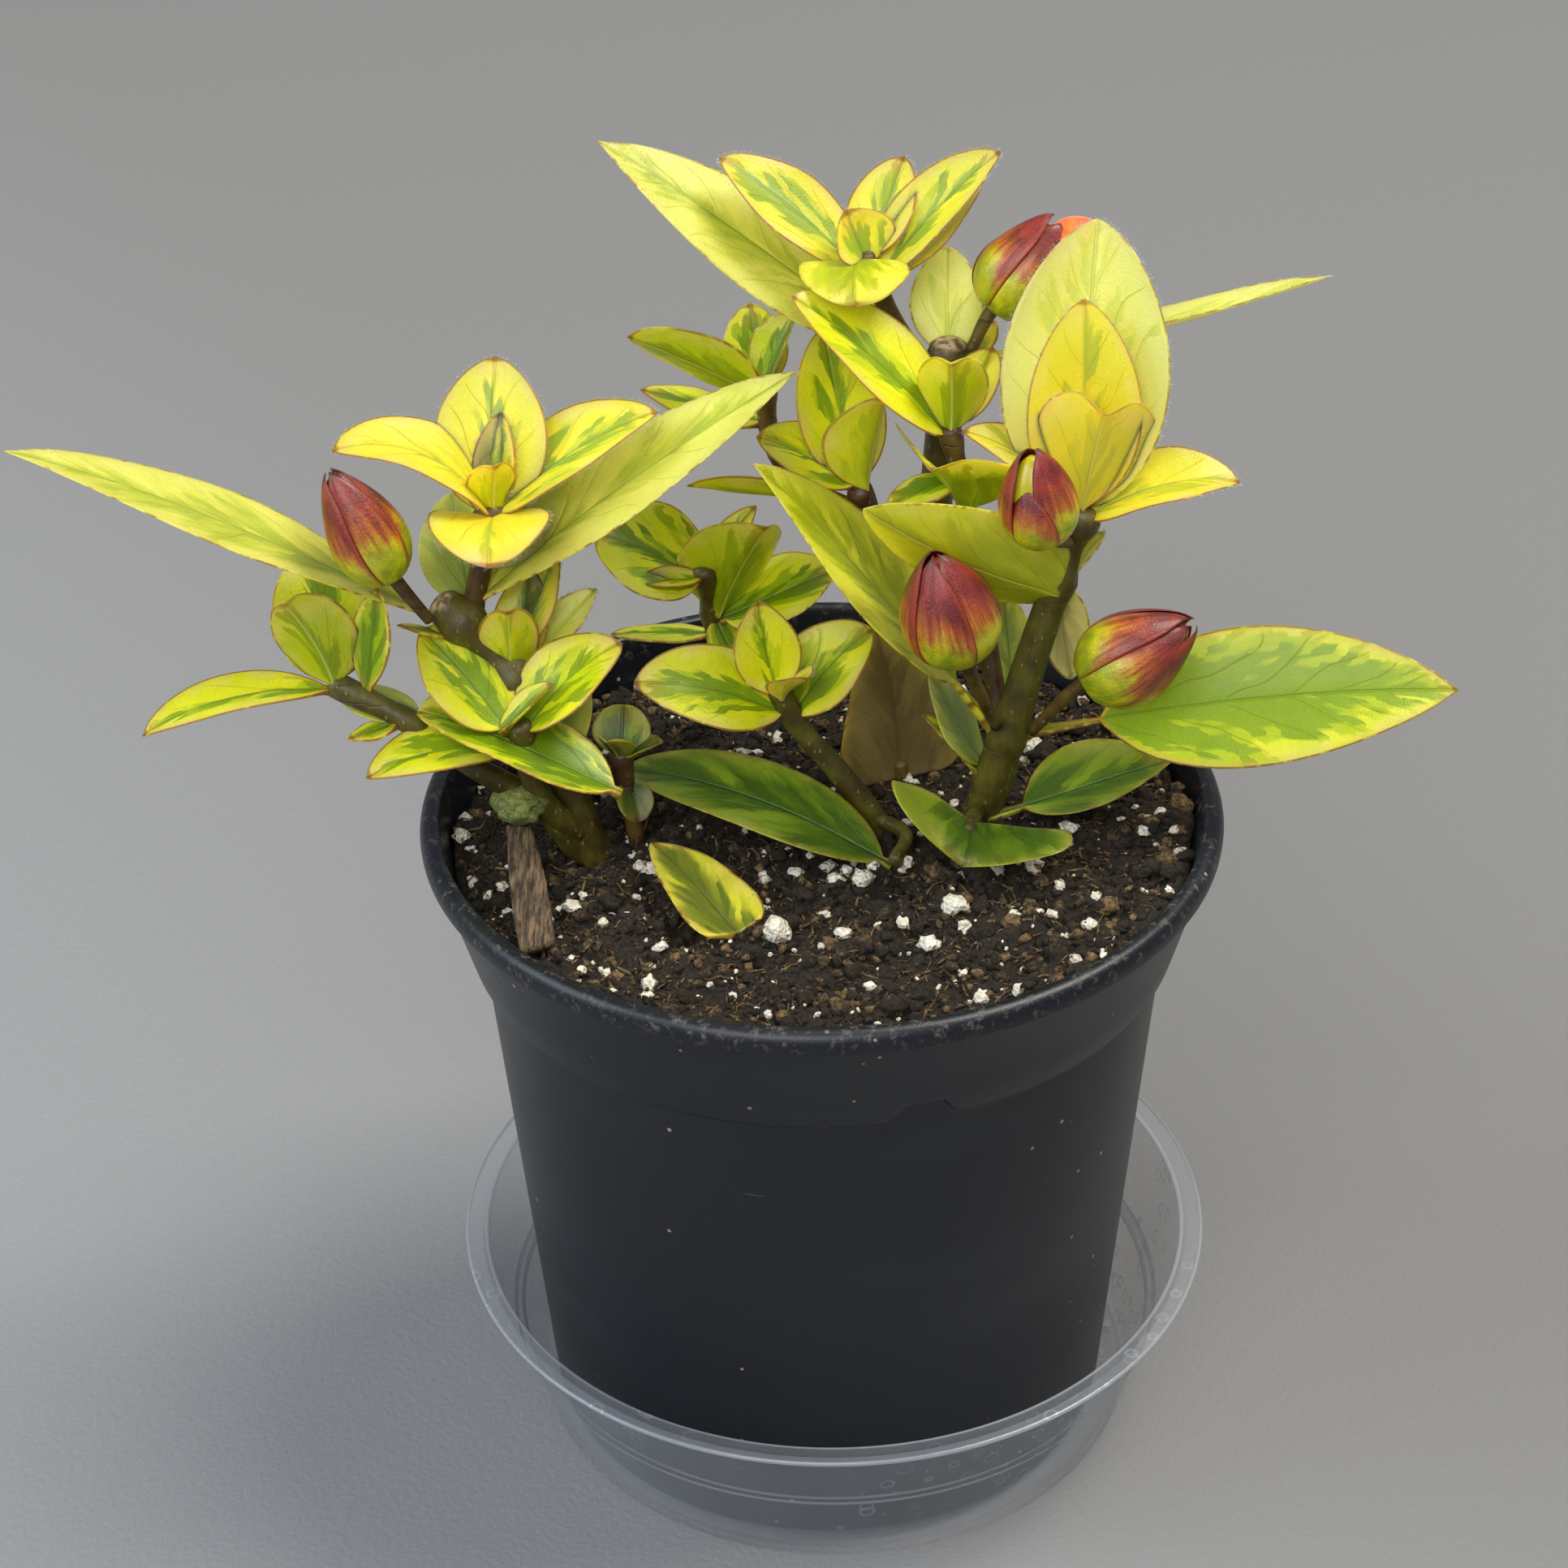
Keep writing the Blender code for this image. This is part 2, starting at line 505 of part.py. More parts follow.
def pot_inner_radius(z):
    """The inside of the wall: a straight cone, then a flare behind the collar."""
    heights = (POT_BASE_Z + POT_FLOOR, CONE_TOP_Z, FLARE_TOP_Z, POT_TOP_Z)
    radii = (BODY_FOOT_RADIUS - POT_WALL, CONE_TOP_RADIUS, FLARE_TOP_RADIUS, MOUTH_RADIUS)
    return float(np.interp(z, heights, radii))


def make_pot(mat):
    floor_top = POT_BASE_Z + POT_FLOOR
    lip_foot = POT_TOP_Z - LIP_HEIGHT
    arc = 1 - math.sqrt(0.5)
    outline = [
        (0, POT_BASE_Z), (BODY_FOOT_RADIUS - FOOT_ROUND, POT_BASE_Z),
        (BODY_FOOT_RADIUS - arc * FOOT_ROUND, POT_BASE_Z + arc * FOOT_ROUND),
        (BODY_FOOT_RADIUS, POT_BASE_Z + FOOT_ROUND), (BODY_TOP_RADIUS, COLLAR_FOOT_Z - COLLAR_SLANT),
        (COLLAR_FOOT_RADIUS, COLLAR_FOOT_Z), (COLLAR_TOP_RADIUS, lip_foot),
        (LIP_RADIUS - LIP_CHAMFER, lip_foot), (LIP_RADIUS, lip_foot + LIP_CHAMFER),
        (LIP_RADIUS, POT_TOP_Z - LIP_ROUND),
        (LIP_RADIUS - arc * LIP_ROUND, POT_TOP_Z - arc * LIP_ROUND),
        (LIP_RADIUS - LIP_ROUND, POT_TOP_Z), (MOUTH_RADIUS + MOUTH_CHAMFER, POT_TOP_Z),
    ]
    for z in (POT_TOP_Z - MOUTH_CHAMFER, FLARE_TOP_Z, CONE_TOP_Z, floor_top):
        outline.append((pot_inner_radius(z), z))
    outline.append((0, floor_top))
    pot = turned("pot", outline, SEGMENTS, mat)
    cutters = []
    for k in range(DRAIN_HOLES):
        a = 2 * math.pi * (k + 0.5) / DRAIN_HOLES
        x, y = DRAIN_CIRCLE * math.cos(a), DRAIN_CIRCLE * math.sin(a)
        ends = np.array([(x, y, POT_BASE_Z - CUT_MARGIN), (x, y, floor_top + CUT_MARGIN)], float)
        cutters.append(tube("drain", ends, DRAIN_RADIUS, DRAIN_RADIUS, 16))
    cutters.append(label_notch())
    combine(pot, cutters, "DIFFERENCE")


def label_notch():
    """A block that clears the foot of the collar at the front for a plant label."""
    a = math.radians(NOTCH_ANGLE)
    out = np.array([math.cos(a), math.sin(a), 0.0])
    along = np.array([-math.sin(a), math.cos(a), 0.0])
    outer = LIP_RADIUS
    corners = []
    for z, width in ((COLLAR_FOOT_Z - CUT_MARGIN, NOTCH_WIDTH + NOTCH_TAPER / 2),
                     (COLLAR_FOOT_Z + NOTCH_HEIGHT, NOTCH_WIDTH - NOTCH_TAPER / 2)):
        for r, w in ((NOTCH_BACK_RADIUS, -1), (outer, -1), (outer, 1), (NOTCH_BACK_RADIUS, 1)):
            corners.append(out * r + along * w * width / 2 + np.array([0, 0, z]))
    faces = [(0, 1, 2, 3), (4, 5, 6, 7)] + [(i, (i + 1) % 4, (i + 1) % 4 + 4, i + 4) for i in range(4)]
    return outward(mesh_object("label_notch", corners, faces))


def soil_height(x, y):
    """Level of the soil: a gentle slope up to the front right, and low mounds."""
    slope = SOIL_RISE * (0.5 * x - 0.85 * y) / MOUTH_RADIUS
    mounds = np.sin(0.35 * x + 1.1) * np.cos(0.33 * y - 0.4) + 0.6 * np.sin(0.30 * x - 0.38 * y)
    return SOIL_LEVEL + slope + SOIL_MOUND * mounds


def make_soil(mat):
    """A turned body whose top follows soil_height, with perlite on it and a hole for each stem."""
    edge = pot_inner_radius(SOIL_LEVEL) - SOIL_PLAY
    low = POT_BASE_Z + POT_FLOOR + GAP
    wall = [(pot_inner_radius(z) - SOIL_PLAY, z) for z in (FLARE_TOP_Z, CONE_TOP_Z, low)]
    top = [(r, SOIL_LEVEL) for r in np.linspace(0, edge, SOIL_RINGS + 1)]
    soil = turned("soil", top + wall + [(0.0, low)], SOIL_SEGMENTS, mat)
    for vert in soil.data.vertices:
        x, y, z = (c / MM for c in vert.co)
        if abs(z - SOIL_LEVEL) < 1e-3:
            height = float(soil_height(x, y))
            shrink = (pot_inner_radius(height) - SOIL_PLAY) / edge
            vert.co = Vector((x * shrink, y * shrink, height)) * MM
    grains = []
    for k, (x, y, size) in enumerate(PERLITE):
        centre = (x, y, float(soil_height(x, y)) + 0.12 * size)
        grains.append(lump("perlite", centre, (0.5 * size, 0.42 * size, 0.38 * size), None, 1, 1.3 * k))
    combine(soil, grains, "UNION")
    holes = []
    for shoot in SHOOTS.values():
        points, foot, _ = shoot["stems"][0]
        path = smooth_path(points)
        path = path[path[:, 2] < HOLE_TOP_Z]
        start = path[0] - np.array([0, 0, CUT_MARGIN])
        path = np.concatenate([start[None], path])
        holes.append(tube("hole", path, foot + HOLE_PLAY, foot + HOLE_PLAY, 10))
    combine(soil, holes, "DIFFERENCE")


def make_bark(mat):
    """A flat strip of uneven width and thickness, its ends cut on the slant."""
    start, end = (np.array(p, float) for p in BARK_ENDS)
    run = (end - start) / np.linalg.norm(end - start)
    side = np.cross(run, (0, 0, 1))
    side /= np.linalg.norm(side)
    stations = np.linspace(0, 1, 6)
    rows = []
    for t in stations:
        centre = start + t * (end - start)
        half = BARK_WIDTH / 2 * (0.85 + 0.25 * math.sin(2.6 * t + 0.8))
        top = BARK_THICKNESS * (0.85 + 0.15 * math.cos(5 * t))
        slant = BARK_SLANT * (0.5 - t)
        for w, z in ((-1, 0), (-1, top * 0.7), (0, top), (1, top * 0.75), (1, 0)):
            rows.append(centre + side * w * half + run * slant * w + np.array([0, 0, z]))
    ring = 5
    faces = [tuple(range(ring)), tuple(range(len(rows) - ring, len(rows)))]
    for i in range(len(stations) - 1):
        for j in range(ring):
            a, b = i * ring + j, i * ring + (j + 1) % ring
            faces += [(a, b, b + ring), (a, b + ring, a + ring)]
    outward(mesh_object("bark_strip", rows, faces, mat))


def bud_profile(t):
    """Share of the full width along the calyx: round foot, pointed tip."""
    return np.sin(np.pi * t**0.72) ** 0.75 * (1 - 0.25 * t) / 0.9


def make_bud(name, spec, calyx, petal):
    foot, base, heading, rise, length, width = spec
    along, side, up = directions(heading, rise)
    sides = 2 * BUD_LOBES
    stations = np.linspace(0.03, 0.97, 8)
    angle = 2 * math.pi * np.arange(sides) / sides
    lobes = 1 + BUD_LOBE_DEPTH * np.cos(BUD_LOBES * angle)
    radius = width / 2 * bud_profile(stations)[:, None] * lobes
    centre = np.array(base) + stations[:, None] * length * along
    rings = (centre[:, None] + (radius * np.cos(angle))[..., None] * side
             + (radius * np.sin(angle))[..., None] * up)
    last = (len(stations) - 1) * sides
    faces = [tuple(range(sides)), tuple(range(last, last + sides))]
    for i in range(len(stations) - 1):
        for j in range(sides):
            a, b = i * sides + j, i * sides + (j + 1) % sides
            faces += [(a, b, b + sides), (a, b + sides, a + sides)]
    bud = outward(mesh_object(name, rings.reshape(-1, 3), faces, calyx))
    root = np.array(base) + 0.12 * length * along
    pieces = [tube("stalk", np.array([foot, base, root], float), *BUD_STALK_RADII, 8, calyx)]
    if name == "open_bud":
        tip = np.array(base) + 0.86 * length * along + np.array(COROLLA_SHIFT)
        pieces.append(lump("corolla", tip, COROLLA_RADII, petal, 2))
    combine(bud, pieces, "UNION")


def main():
    clear_scene()
    make_saucer(material("clear_plastic", CLEAR, 0.12, 0.35))
    make_pot(material("charcoal_plastic", CHARCOAL, 0.45))
    make_soil(material("soil", PEAT, 0.95))
    make_bark(material("bark", BARK, 0.85))
    leaf = material("leaf", LIME, 0.35)
    dry = material("dry_leaf", BROWN, 0.7)
    calyx = material("calyx", RED, 0.4)
    petal = material("petal", ORANGE, 0.4)
    for name, shoot in SHOOTS.items():
        make_shoot(name, shoot, dry if name == "dry_leaf" else leaf)
    for name, spec in BUDS.items():
        make_bud(name, spec, calyx, petal)


main()
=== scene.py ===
# %% [markdown]
# # A variegated goldfish plant in a nursery pot
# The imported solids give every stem, leaf, bud and wall its place. This file loads
# them as a fixed frame and dresses them: each leaf becomes a thin waxy blade with
# its own flames of green, the buds get five sepals, the pot gets fine walls, and
# loose peat, perlite and fibres lie on the soil. Shapes are worked out in
# millimetres and degrees, and MM turns them into metres. Materials that read an
# object's coordinates measure in metres.

# %% Load the frame
import math
from functools import partialmethod

import bmesh
import bpy
import numpy as np
from mathutils import Matrix


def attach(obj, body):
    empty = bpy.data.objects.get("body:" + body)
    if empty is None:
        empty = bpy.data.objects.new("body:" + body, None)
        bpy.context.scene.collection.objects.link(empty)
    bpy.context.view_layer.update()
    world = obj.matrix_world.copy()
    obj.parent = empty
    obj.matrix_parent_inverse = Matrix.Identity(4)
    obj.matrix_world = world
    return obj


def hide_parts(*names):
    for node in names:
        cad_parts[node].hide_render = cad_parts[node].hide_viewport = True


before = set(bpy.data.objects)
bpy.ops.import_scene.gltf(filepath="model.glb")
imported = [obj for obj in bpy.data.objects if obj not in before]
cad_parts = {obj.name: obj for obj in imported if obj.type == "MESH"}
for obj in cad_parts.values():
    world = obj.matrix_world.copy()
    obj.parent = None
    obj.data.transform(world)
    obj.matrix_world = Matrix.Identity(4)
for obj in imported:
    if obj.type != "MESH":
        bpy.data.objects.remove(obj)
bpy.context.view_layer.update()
MM = 0.001
rng = np.random.default_rng(12)
print("nodes:", sorted(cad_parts))

# %% [markdown]
# ## Meshes from arrays
# Every new piece is a surface worked out with numpy: rows of closed rings that are
# joined row by row. A pile gathers many such lofts into one mesh, with values at
# each point that the materials can read, such as how far along a leaf it lies.
# Modelling by hand or with curves would do too, but here a shape is one formula, and
# a change to a number changes every leaf at once.


# %% Directions and circles
def unit(vectors):
    """Vectors divided by their lengths."""
    return vectors / np.linalg.norm(vectors, axis=-1, keepdims=True)


def directions(heading, rise):
    """Unit vectors along a line, to its left, and square to both."""
    h, r = math.radians(heading), math.radians(rise)
    along = np.array([math.cos(h) * math.cos(r), math.sin(h) * math.cos(r), math.sin(r)])
    side = np.array([-math.sin(h), math.cos(h), 0.0])
    return along, side, np.cross(along, side)


def around(count, start=0.0):
    """Cosines and sines of even steps round a circle, the first one `start` of a step on."""
    angle = 2 * np.pi * (np.arange(count) + start) / count
    return np.cos(angle), np.sin(angle)


def circles(count, first, second):
    """Points of a circle of radius 1 for each pair of axes."""
    cosines, sines = around(count)
    return cosines[:, None] * first[..., None, :] + sines[:, None] * second[..., None, :]


# %% Lofts
def loft_faces(rows, columns):
    """Quads between neighbouring rings, and one face to close each end."""
    i, j = np.meshgrid(np.arange(rows - 1), np.arange(columns), indexing="ij")
    a, b = i * columns + j, i * columns + (j + 1) % columns
    quads = np.stack([a, b, b + columns, a + columns], axis=-1).reshape(-1, 4)
    first, last = range(columns - 1, -1, -1), range((rows - 1) * columns, rows * columns)
    return quads.tolist() + [list(first), list(last)]


def outward_faces(rings):
    """The faces of a loft, turned round where the volume inside comes out negative.

    That volume is the area of each ring times the way it moves, added up.
    """
    middle = rings.mean(axis=1)
    spokes = rings - middle[:, None]
    area = np.cross(spokes, np.roll(spokes, -1, axis=1)).sum(axis=1)
    volume = (area * np.gradient(middle, axis=0)).sum()
    faces = loft_faces(*rings.shape[:2])
    return [face[::-1] for face in faces] if volume < 0 else faces


def facts(*values):
    """Vectors for the points of a loft, from three columns, rows, numbers or full grids."""
    return np.stack(np.broadcast_arrays(*values), axis=-1).reshape(-1, 3)


# %% Meshes, objects and pieces
def new_mesh(name, points, faces):
    """A mesh from points in millimetres and lists of their numbers."""
    mesh = bpy.data.meshes.new(name)
    mesh.from_pydata((points.reshape(-1, 3) * MM).tolist(), [], faces)
    return mesh


def new_object(name, data):
    """An object at the origin, linked to the scene."""
    made = bpy.data.objects.new(name, data)
    bpy.context.scene.collection.objects.link(made)
    return made


def new_piece(name, mesh, material, slot, *nodes):
    """A smooth piece that rides on the pot and stands for these nodes."""
    mesh.shade_smooth()
    mesh.materials.append(material)
    piece = new_object(name, mesh)
    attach(piece, "root")
    if nodes:
        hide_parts(*nodes)
    print(f"{name}: {len(mesh.vertices)} points, {len(mesh.polygons)} faces")
    return piece


class Pile:
    """Points, faces and values of many small surfaces that make one object."""

    def __init__(self):
        self.points, self.faces, self.values, self.count = [], [], {}, 0

    def add(self, points, faces, **values):
        """Adds a surface. A value is one number or vector for all of it, or one for each point."""
        points = np.asarray(points, float).reshape(-1, 3)
        self.faces += [[k + self.count for k in face] for face in faces]
        for key, value in values.items():
            value = np.asarray(value, float)
            if value.shape[:1] != (len(points),):
                value = np.broadcast_to(value, (len(points),) + value.shape)
            self.values.setdefault(key, []).append(value)
        self.points.append(points)
        self.count += len(points)

    def add_rings(self, rings, **values):
        """Adds a loft of closed rings."""
        self.add(rings, outward_faces(rings), **values)

    def mesh(self, name):
        """The pile as one mesh, its values as attributes of the points."""
        mesh = new_mesh(name, np.concatenate(self.points), self.faces)
        for key, parts in self.values.items():
            data = np.concatenate(parts)
            kind, field = ("FLOAT_VECTOR", "vector") if data.ndim == 2 else ("FLOAT", "value")
            mesh.attributes.new(key, kind, "POINT").data.foreach_set(field, data.ravel())
        return mesh

    def make(self, name, material, slot, *nodes):
        """The pile as a piece."""
        return new_piece(name, self.mesh(name), material, slot, *nodes)


# %% [markdown]
# ## Shader maths
# Materials are written as sums and products of sockets. The Value class adds a Math
# node for each operator, so a mask reads like the formula that it is. Linking the
# same nodes by hand in the editor gives the same material, but is hard to read back.
# Colours are mixed with the Mix node, because a Math node would turn them grey.


# %% Values and shaders
class Value:
    """A socket that can be added, multiplied and compared as a number is."""

    def __init__(self, shader, socket):
        self.shader, self.socket = shader, socket

    def math(self, operation, *others):
        """This value and others through one Math node."""
        return self.shader.value("Math", {"operation": operation}, (self, *others))

    def flipped(self, operation, other):
        """The same with the other value first, as 1 - mask needs."""
        return self.shader.value("Math", {"operation": operation}, (other, self))

    __add__ = __radd__ = partialmethod(math, "ADD")
    __mul__ = __rmul__ = partialmethod(math, "MULTIPLY")
    __sub__, __rsub__ = partialmethod(math, "SUBTRACT"), partialmethod(flipped, "SUBTRACT")
    __truediv__, __rtruediv__ = partialmethod(math, "DIVIDE"), partialmethod(flipped, "DIVIDE")

    def step(self, low, high):
        """0 below low, 1 above high and a smooth rise between them; high may be the lower one."""
        ends = (self, min(low, high), max(low, high))
        rise = self.shader.value("MapRange", {"interpolation_type": "SMOOTHSTEP"}, ends)
        return rise if low < high else 1 - rise


class Shader:
    """The node tree of one material. Every node is added by its node method."""

    def __init__(self, name):
        self.material = bpy.data.materials.new(name)
        self.material.use_nodes = True
        self.tree = self.material.node_tree
        self.surface = self.tree.nodes["Principled BSDF"]

    def feed(self, socket, value):
        """Links a value to a socket, or sets a constant there."""
        if isinstance(value, Value):
            self.tree.links.new(value.socket, socket)
        else:
            socket.default_value = value

    def node(self, kind, settings=None, sockets=()):
        """A node of this type with its settings, then the values or links of its sockets."""
        made = self.tree.nodes.new("ShaderNode" + kind)
        for key, value in (settings or {}).items():
            setattr(made, key, value)
        for key, value in sockets.items() if isinstance(sockets, dict) else enumerate(sockets):
            self.feed(made.inputs[key], value)
        return made

    def value(self, kind, settings=None, sockets=(), output=0):
        """One output of a new node."""
        return Value(self, self.node(kind, settings, sockets).outputs[output])

    def attribute(self, name, output="Vector"):
        """A value that the mesh holds for each of its points."""
        return self.value("Attribute", {"attribute_name": name}, output=output)

    def parts(self, vector):
        """The x, y and z of a vector."""
        return [Value(self, out) for out in self.node("SeparateXYZ", {}, (vector,)).outputs]

    def stretched(self, vector, *factors):
        """A vector with each part multiplied by its own factor."""
        return self.value("VectorMath", {"operation": "MULTIPLY"}, (vector, factors))

    def place(self):
        """The point's place on the object, in metres."""
        return self.value("TexCoord", output="Object")

    def noise(self, vector, scale=1.0, detail=3.0, roughness=0.55, distortion=0.0):
        """Smooth random shades at a vector, or at a tuple of its x, y and z."""
        if isinstance(vector, tuple):
            vector = self.value("CombineXYZ", {}, vector)
        sockets = {"Vector": vector, "Scale": scale, "Detail": detail, "Roughness": roughness,
                   "Distortion": distortion}
        return self.value("TexNoise", {}, sockets)

    def cells(self, vector, scale=1.0):
        """Distance to the nearest of a scatter of random points."""
        return self.value("TexVoronoi", {}, {"Vector": vector, "Scale": scale}, "Distance")

    def mix(self, share, a, b):
        """Colour a with this share of colour b; a tuple is a colour as a screen shows it."""
        a, b = (rgb(*colour) if isinstance(colour, tuple) else colour for colour in (a, b))
        return self.value("Mix", {"data_type": "RGBA"}, {0: share, 6: a, 7: b}, 2)

    def paint(self, colour, *layers):
        """A colour under layers, each one a share and the colour that it brings."""
        for share, tint in layers:
            colour = self.mix(share, colour, tint)
        return colour

    def grazing(self):
        """0 where the surface is seen straight on, 1 where it is seen edge on."""
        return self.value("LayerWeight", output="Facing")

    def bump(self, height, distance, strength=1.0):
        """A normal for heights from 0 to 1 that stand for this many metres."""
        return self.value("Bump", {}, {"Height": height, "Distance": distance, "Strength": strength})

    def finish(self, **sockets):
        """Sets the surface's sockets: constants as they are, varying ones as links."""
        for key, value in sockets.items():
            self.feed(self.surface.inputs[key.replace("_", " ")], value)
        print(self.material.name, len(self.tree.nodes), "nodes")
        return self.material


def rgb(red, green, blue):
    """A colour as a screen shows it, 0 to 255, turned into the linear one that shaders use."""
    share = np.array([red, green, blue]) / 255
    linear = np.where(share <= 0.04045, share / 12.92, ((share + 0.055) / 1.055) ** 2.4)
    return (*linear.tolist(), 1.0)


# %% [markdown]
# ## What the leaves look like
# Leaves of one age look alike. A young leaf is golden lime with a green heart and a
# dark line along its margin, an old one is sage with a cream margin and brown
# dashes, and the lowest ones are plain green. Each look holds four colours, how far
# the green heart reaches, how spotted the leaf is, and how strong its dark margin.
# One material serves them all, because each blade carries its look as values on its
# points. A form holds how fast the blade widens from its foot, how fast it narrows
# to its tip, and the share of its length that is stalk.

# %% Looks: margin, heart, flames, underside, reach of the heart, spots, dark margin
LOOKS = {
    "young": ((246, 236, 26), (190, 204, 14), (112, 144, 12), (206, 206, 30), 0.42, 0.15, 1.0),
    "tip": ((248, 226, 54), (200, 202, 50), (128, 156, 46), (222, 206, 50), 0.46, 0.1, 1.0),
    "golden": ((250, 222, 52), (232, 208, 42), (170, 182, 48), (216, 200, 56), 0.22, 0.2, 1.0),
    "lime": ((218, 224, 20), (146, 172, 8), (92, 124, 6), (160, 172, 18), 0.58, 0.2, 0.7),
    "lush": ((226, 226, 44), (172, 190, 18), (116, 148, 14), (176, 184, 30), 0.72, 0.5, 0.8),
    "olive": ((230, 224, 52), (182, 190, 18), (142, 154, 12), (172, 176, 30), 0.70, 1.0, 0.4),
    "sage": ((240, 232, 100), (198, 202, 66), (160, 174, 50), (190, 192, 64), 0.60, 1.0, 0.4),
    "pale": ((255, 248, 120), (244, 240, 100), (204, 214, 84), (222, 214, 84), 0.42, 0.5, 0.5),
    "deep": ((130, 152, 26), (86, 116, 14), (56, 86, 10), (94, 108, 24), 0.85, 1.0, 0.3),
    "grey": ((188, 196, 84), (150, 164, 68), (120, 140, 56), (150, 158, 66), 0.75, 1.0, 0.2),
    "withered": ((228, 216, 140), (204, 192, 122), (158, 148, 92), (204, 190, 122), 0.60, 1.0, 0.6),
    "yellow": ((206, 198, 44), (120, 128, 26), (84, 96, 20), (130, 134, 34), 0.55, 0.9, 0.5),
    "dry": ((150, 132, 84), (136, 118, 74), (108, 92, 56), (142, 124, 78), 0.50, 1.0, 0.5),
}
LANCE = (0.95, 1.05, 0.06)
OVAL = (0.65, 0.80, 0.04)
ROUND = (0.50, 0.62, 0.05)
STALKED = (0.62, 0.95, 0.20)
SLIM = (0.80, 0.85, 0.10)
BROAD_TIP = (0.80, 0.55, 0.12)
BROAD_FOOT = (0.22, 0.80, 0.00)
# How deep the tip is notched, as a share of the length.
NOTCHES = {BROAD_TIP: 0.13, ROUND: 0.04}
print(len(LOOKS), "looks")

# %% [markdown]
# ## Where the leaves and stems are
# Each shoot repeats the places of its solid: a list of stems as (points, foot
# radius, end radius, bark), then a list of leaves as (x, y and z of the base,
# heading, rise, length, width, arch, fold, roll, form, look), where a curl may
# follow. Heading is the compass angle of the line from base to tip, 0 to +X and 90
# to +Y, and rise is its slope. Arch bends the leaf down, fold lifts both halves
# beside the midrib, roll turns the blade about its length, and curl waves the
# midrib: a positive one lifts its first half and drops its second.

# %% The left shoot
SHOOTS = {}
SHOOTS["left_shoot"] = ([
    ([(-33.5, -4, 101), (-35.5, -4, 106), (-38.5, -3, 117), (-44, -2, 130.5), (-50, -1, 139),
      (-54, -1, 143.5)], 3.1, 2.7, "scarred"),
    ([(-51, 0, 139), (-48.5, 2, 149), (-46.8, 3, 157)], 1.7, 1.2, "dark"),
    ([(-35.5, -4.5, 102), (-41, -7, 113), (-45.6, -8, 117), (-51, -9, 121.5), (-59.6, -8, 128.4),
      (-70, -6, 133.5)], 2.2, 1.4, "olive"),
    ([(-36, -5, 107), (-40, -8, 113), (-42.5, -9, 120), (-43.5, -10, 128.5)], 2.0, 1.5, "olive"),
], [
    (-53, -1, 140, 188, 30, 70, 15, 10, 6, -5, LANCE, "sage"),
    (-52, 0, 141, 10, 35, 62, 16, 8, 8, 14, LANCE, "sage", 0.005),
    (-53, -2, 139, 200, 25, 9, 3, 0, 0, 0, OVAL, "lime"),
    (-50.5, 2, 141, 105, 52, 18, 13, 15, 0, 0, OVAL, "grey"),
    (-47.5, 3, 147, 35, 48, 21, 12, 10, 0, 20, OVAL, "grey"),
    (-46.8, 3.5, 155, 85, 62, 24, 17, 25, 10, 0, OVAL, "tip"),
    (-46.8, 3, 155, 188, 31, 26, 14, 90, 12, -10, OVAL, "golden"),
    (-46.5, 3, 155.5, 10, 31, 29, 14, 32, 18, 15, OVAL, "tip"),
    (-46.6, 3.5, 156, 75, 66, 15, 7, 0, 20, 0, OVAL, "tip"),
    (-46.6, 2.5, 156, -70, 72, 11, 8, 20, 20, 0, ROUND, "young"),
    (-46.5, 2, 156, -88, 2, 16, 18, 50, 15, 0, ROUND, "golden"),
    (-45, -3, 131.5, -80, 78, 15, 9.5, 20, 15, 0, ROUND, "young"),
    (-44.5, -1, 132, 70, 60, 16, 9, 0, 10, 0, OVAL, "young"),
    # Painted light: these two leaves stand in shade at the back and take the lighter tip and pale looks,
    # which lift them as light would.
    (-44.5, 0, 134, 45, 58, 18, 9, 0, 10, 0, OVAL, "tip"),
    (-44, -2, 131.5, 35, 37, 18, 7, 0, 25, 20, SLIM, "pale"),
    (-68, -6, 132, 196, -3, 31, 10, 50, 12, -5, SLIM, "young"),
    (-70, -6.5, 133.5, 195, 67, 17, 13, 25, 20, 75, ROUND, "lime"),
    (-70, -4.5, 132.5, 112, 50, 20, 15, 20, 10, 0, ROUND, "lime"),
    (-65.5, -7, 131.5, 45, 78, 18, 7, 0, 15, 20, SLIM, "lime"),
    (-58, -6.5, 128, 160, 10, 14, 9, 0, 0, 0, OVAL, "grey"),
    (-61, -8.5, 128.5, 205, -5, 8, 5, 0, 0, 0, OVAL, "lime"),
    (-45, -10, 127.5, 150, 43, 20, 16, 10, 15, -15, OVAL, "young"),
    (-29, -14.5, 119.5, 170, 22, 33, 15, 10, 15, -5, ROUND, "lime"),
    (-46, -11, 128, 15, 42, 11, 6, 0, 30, 0, OVAL, "lime"),
    (-43, -10, 127, 30, 32, 20, 13, 45, 18, 15, OVAL, "young"),
    (-44.5, -10.5, 124.5, 193, -3, 22, 11, 50, 12, -10, OVAL, "young"),
    (-41.5, -6, 118, 66, 36, 17, 10, 0, 0, 0, ROUND, "grey"),
])
SHOOTS["small_shoot"] = ([
    ([(-27, -4, 101), (-28, -4, 108), (-29.5, -3, 119)], 1.4, 1.1, "dark"),
], [
    (-29.5, -2.5, 118.5, 85, 55, 8, 9, 0, 10, 0, ROUND, "deep"),
    (-29, -3, 118.5, -10, 30, 7, 5, 0, 20, 0, OVAL, "deep"),
    (-29.5, -3, 118.5, -110, 50, 8, 6, 20, 20, 0, ROUND, "deep"),
    (-28.5, -3, 115, -70, -50, 7, 6, 0, 20, 0, ROUND, "deep"),
])
print({name: len(leaves) for name, (stems, leaves) in SHOOTS.items()})

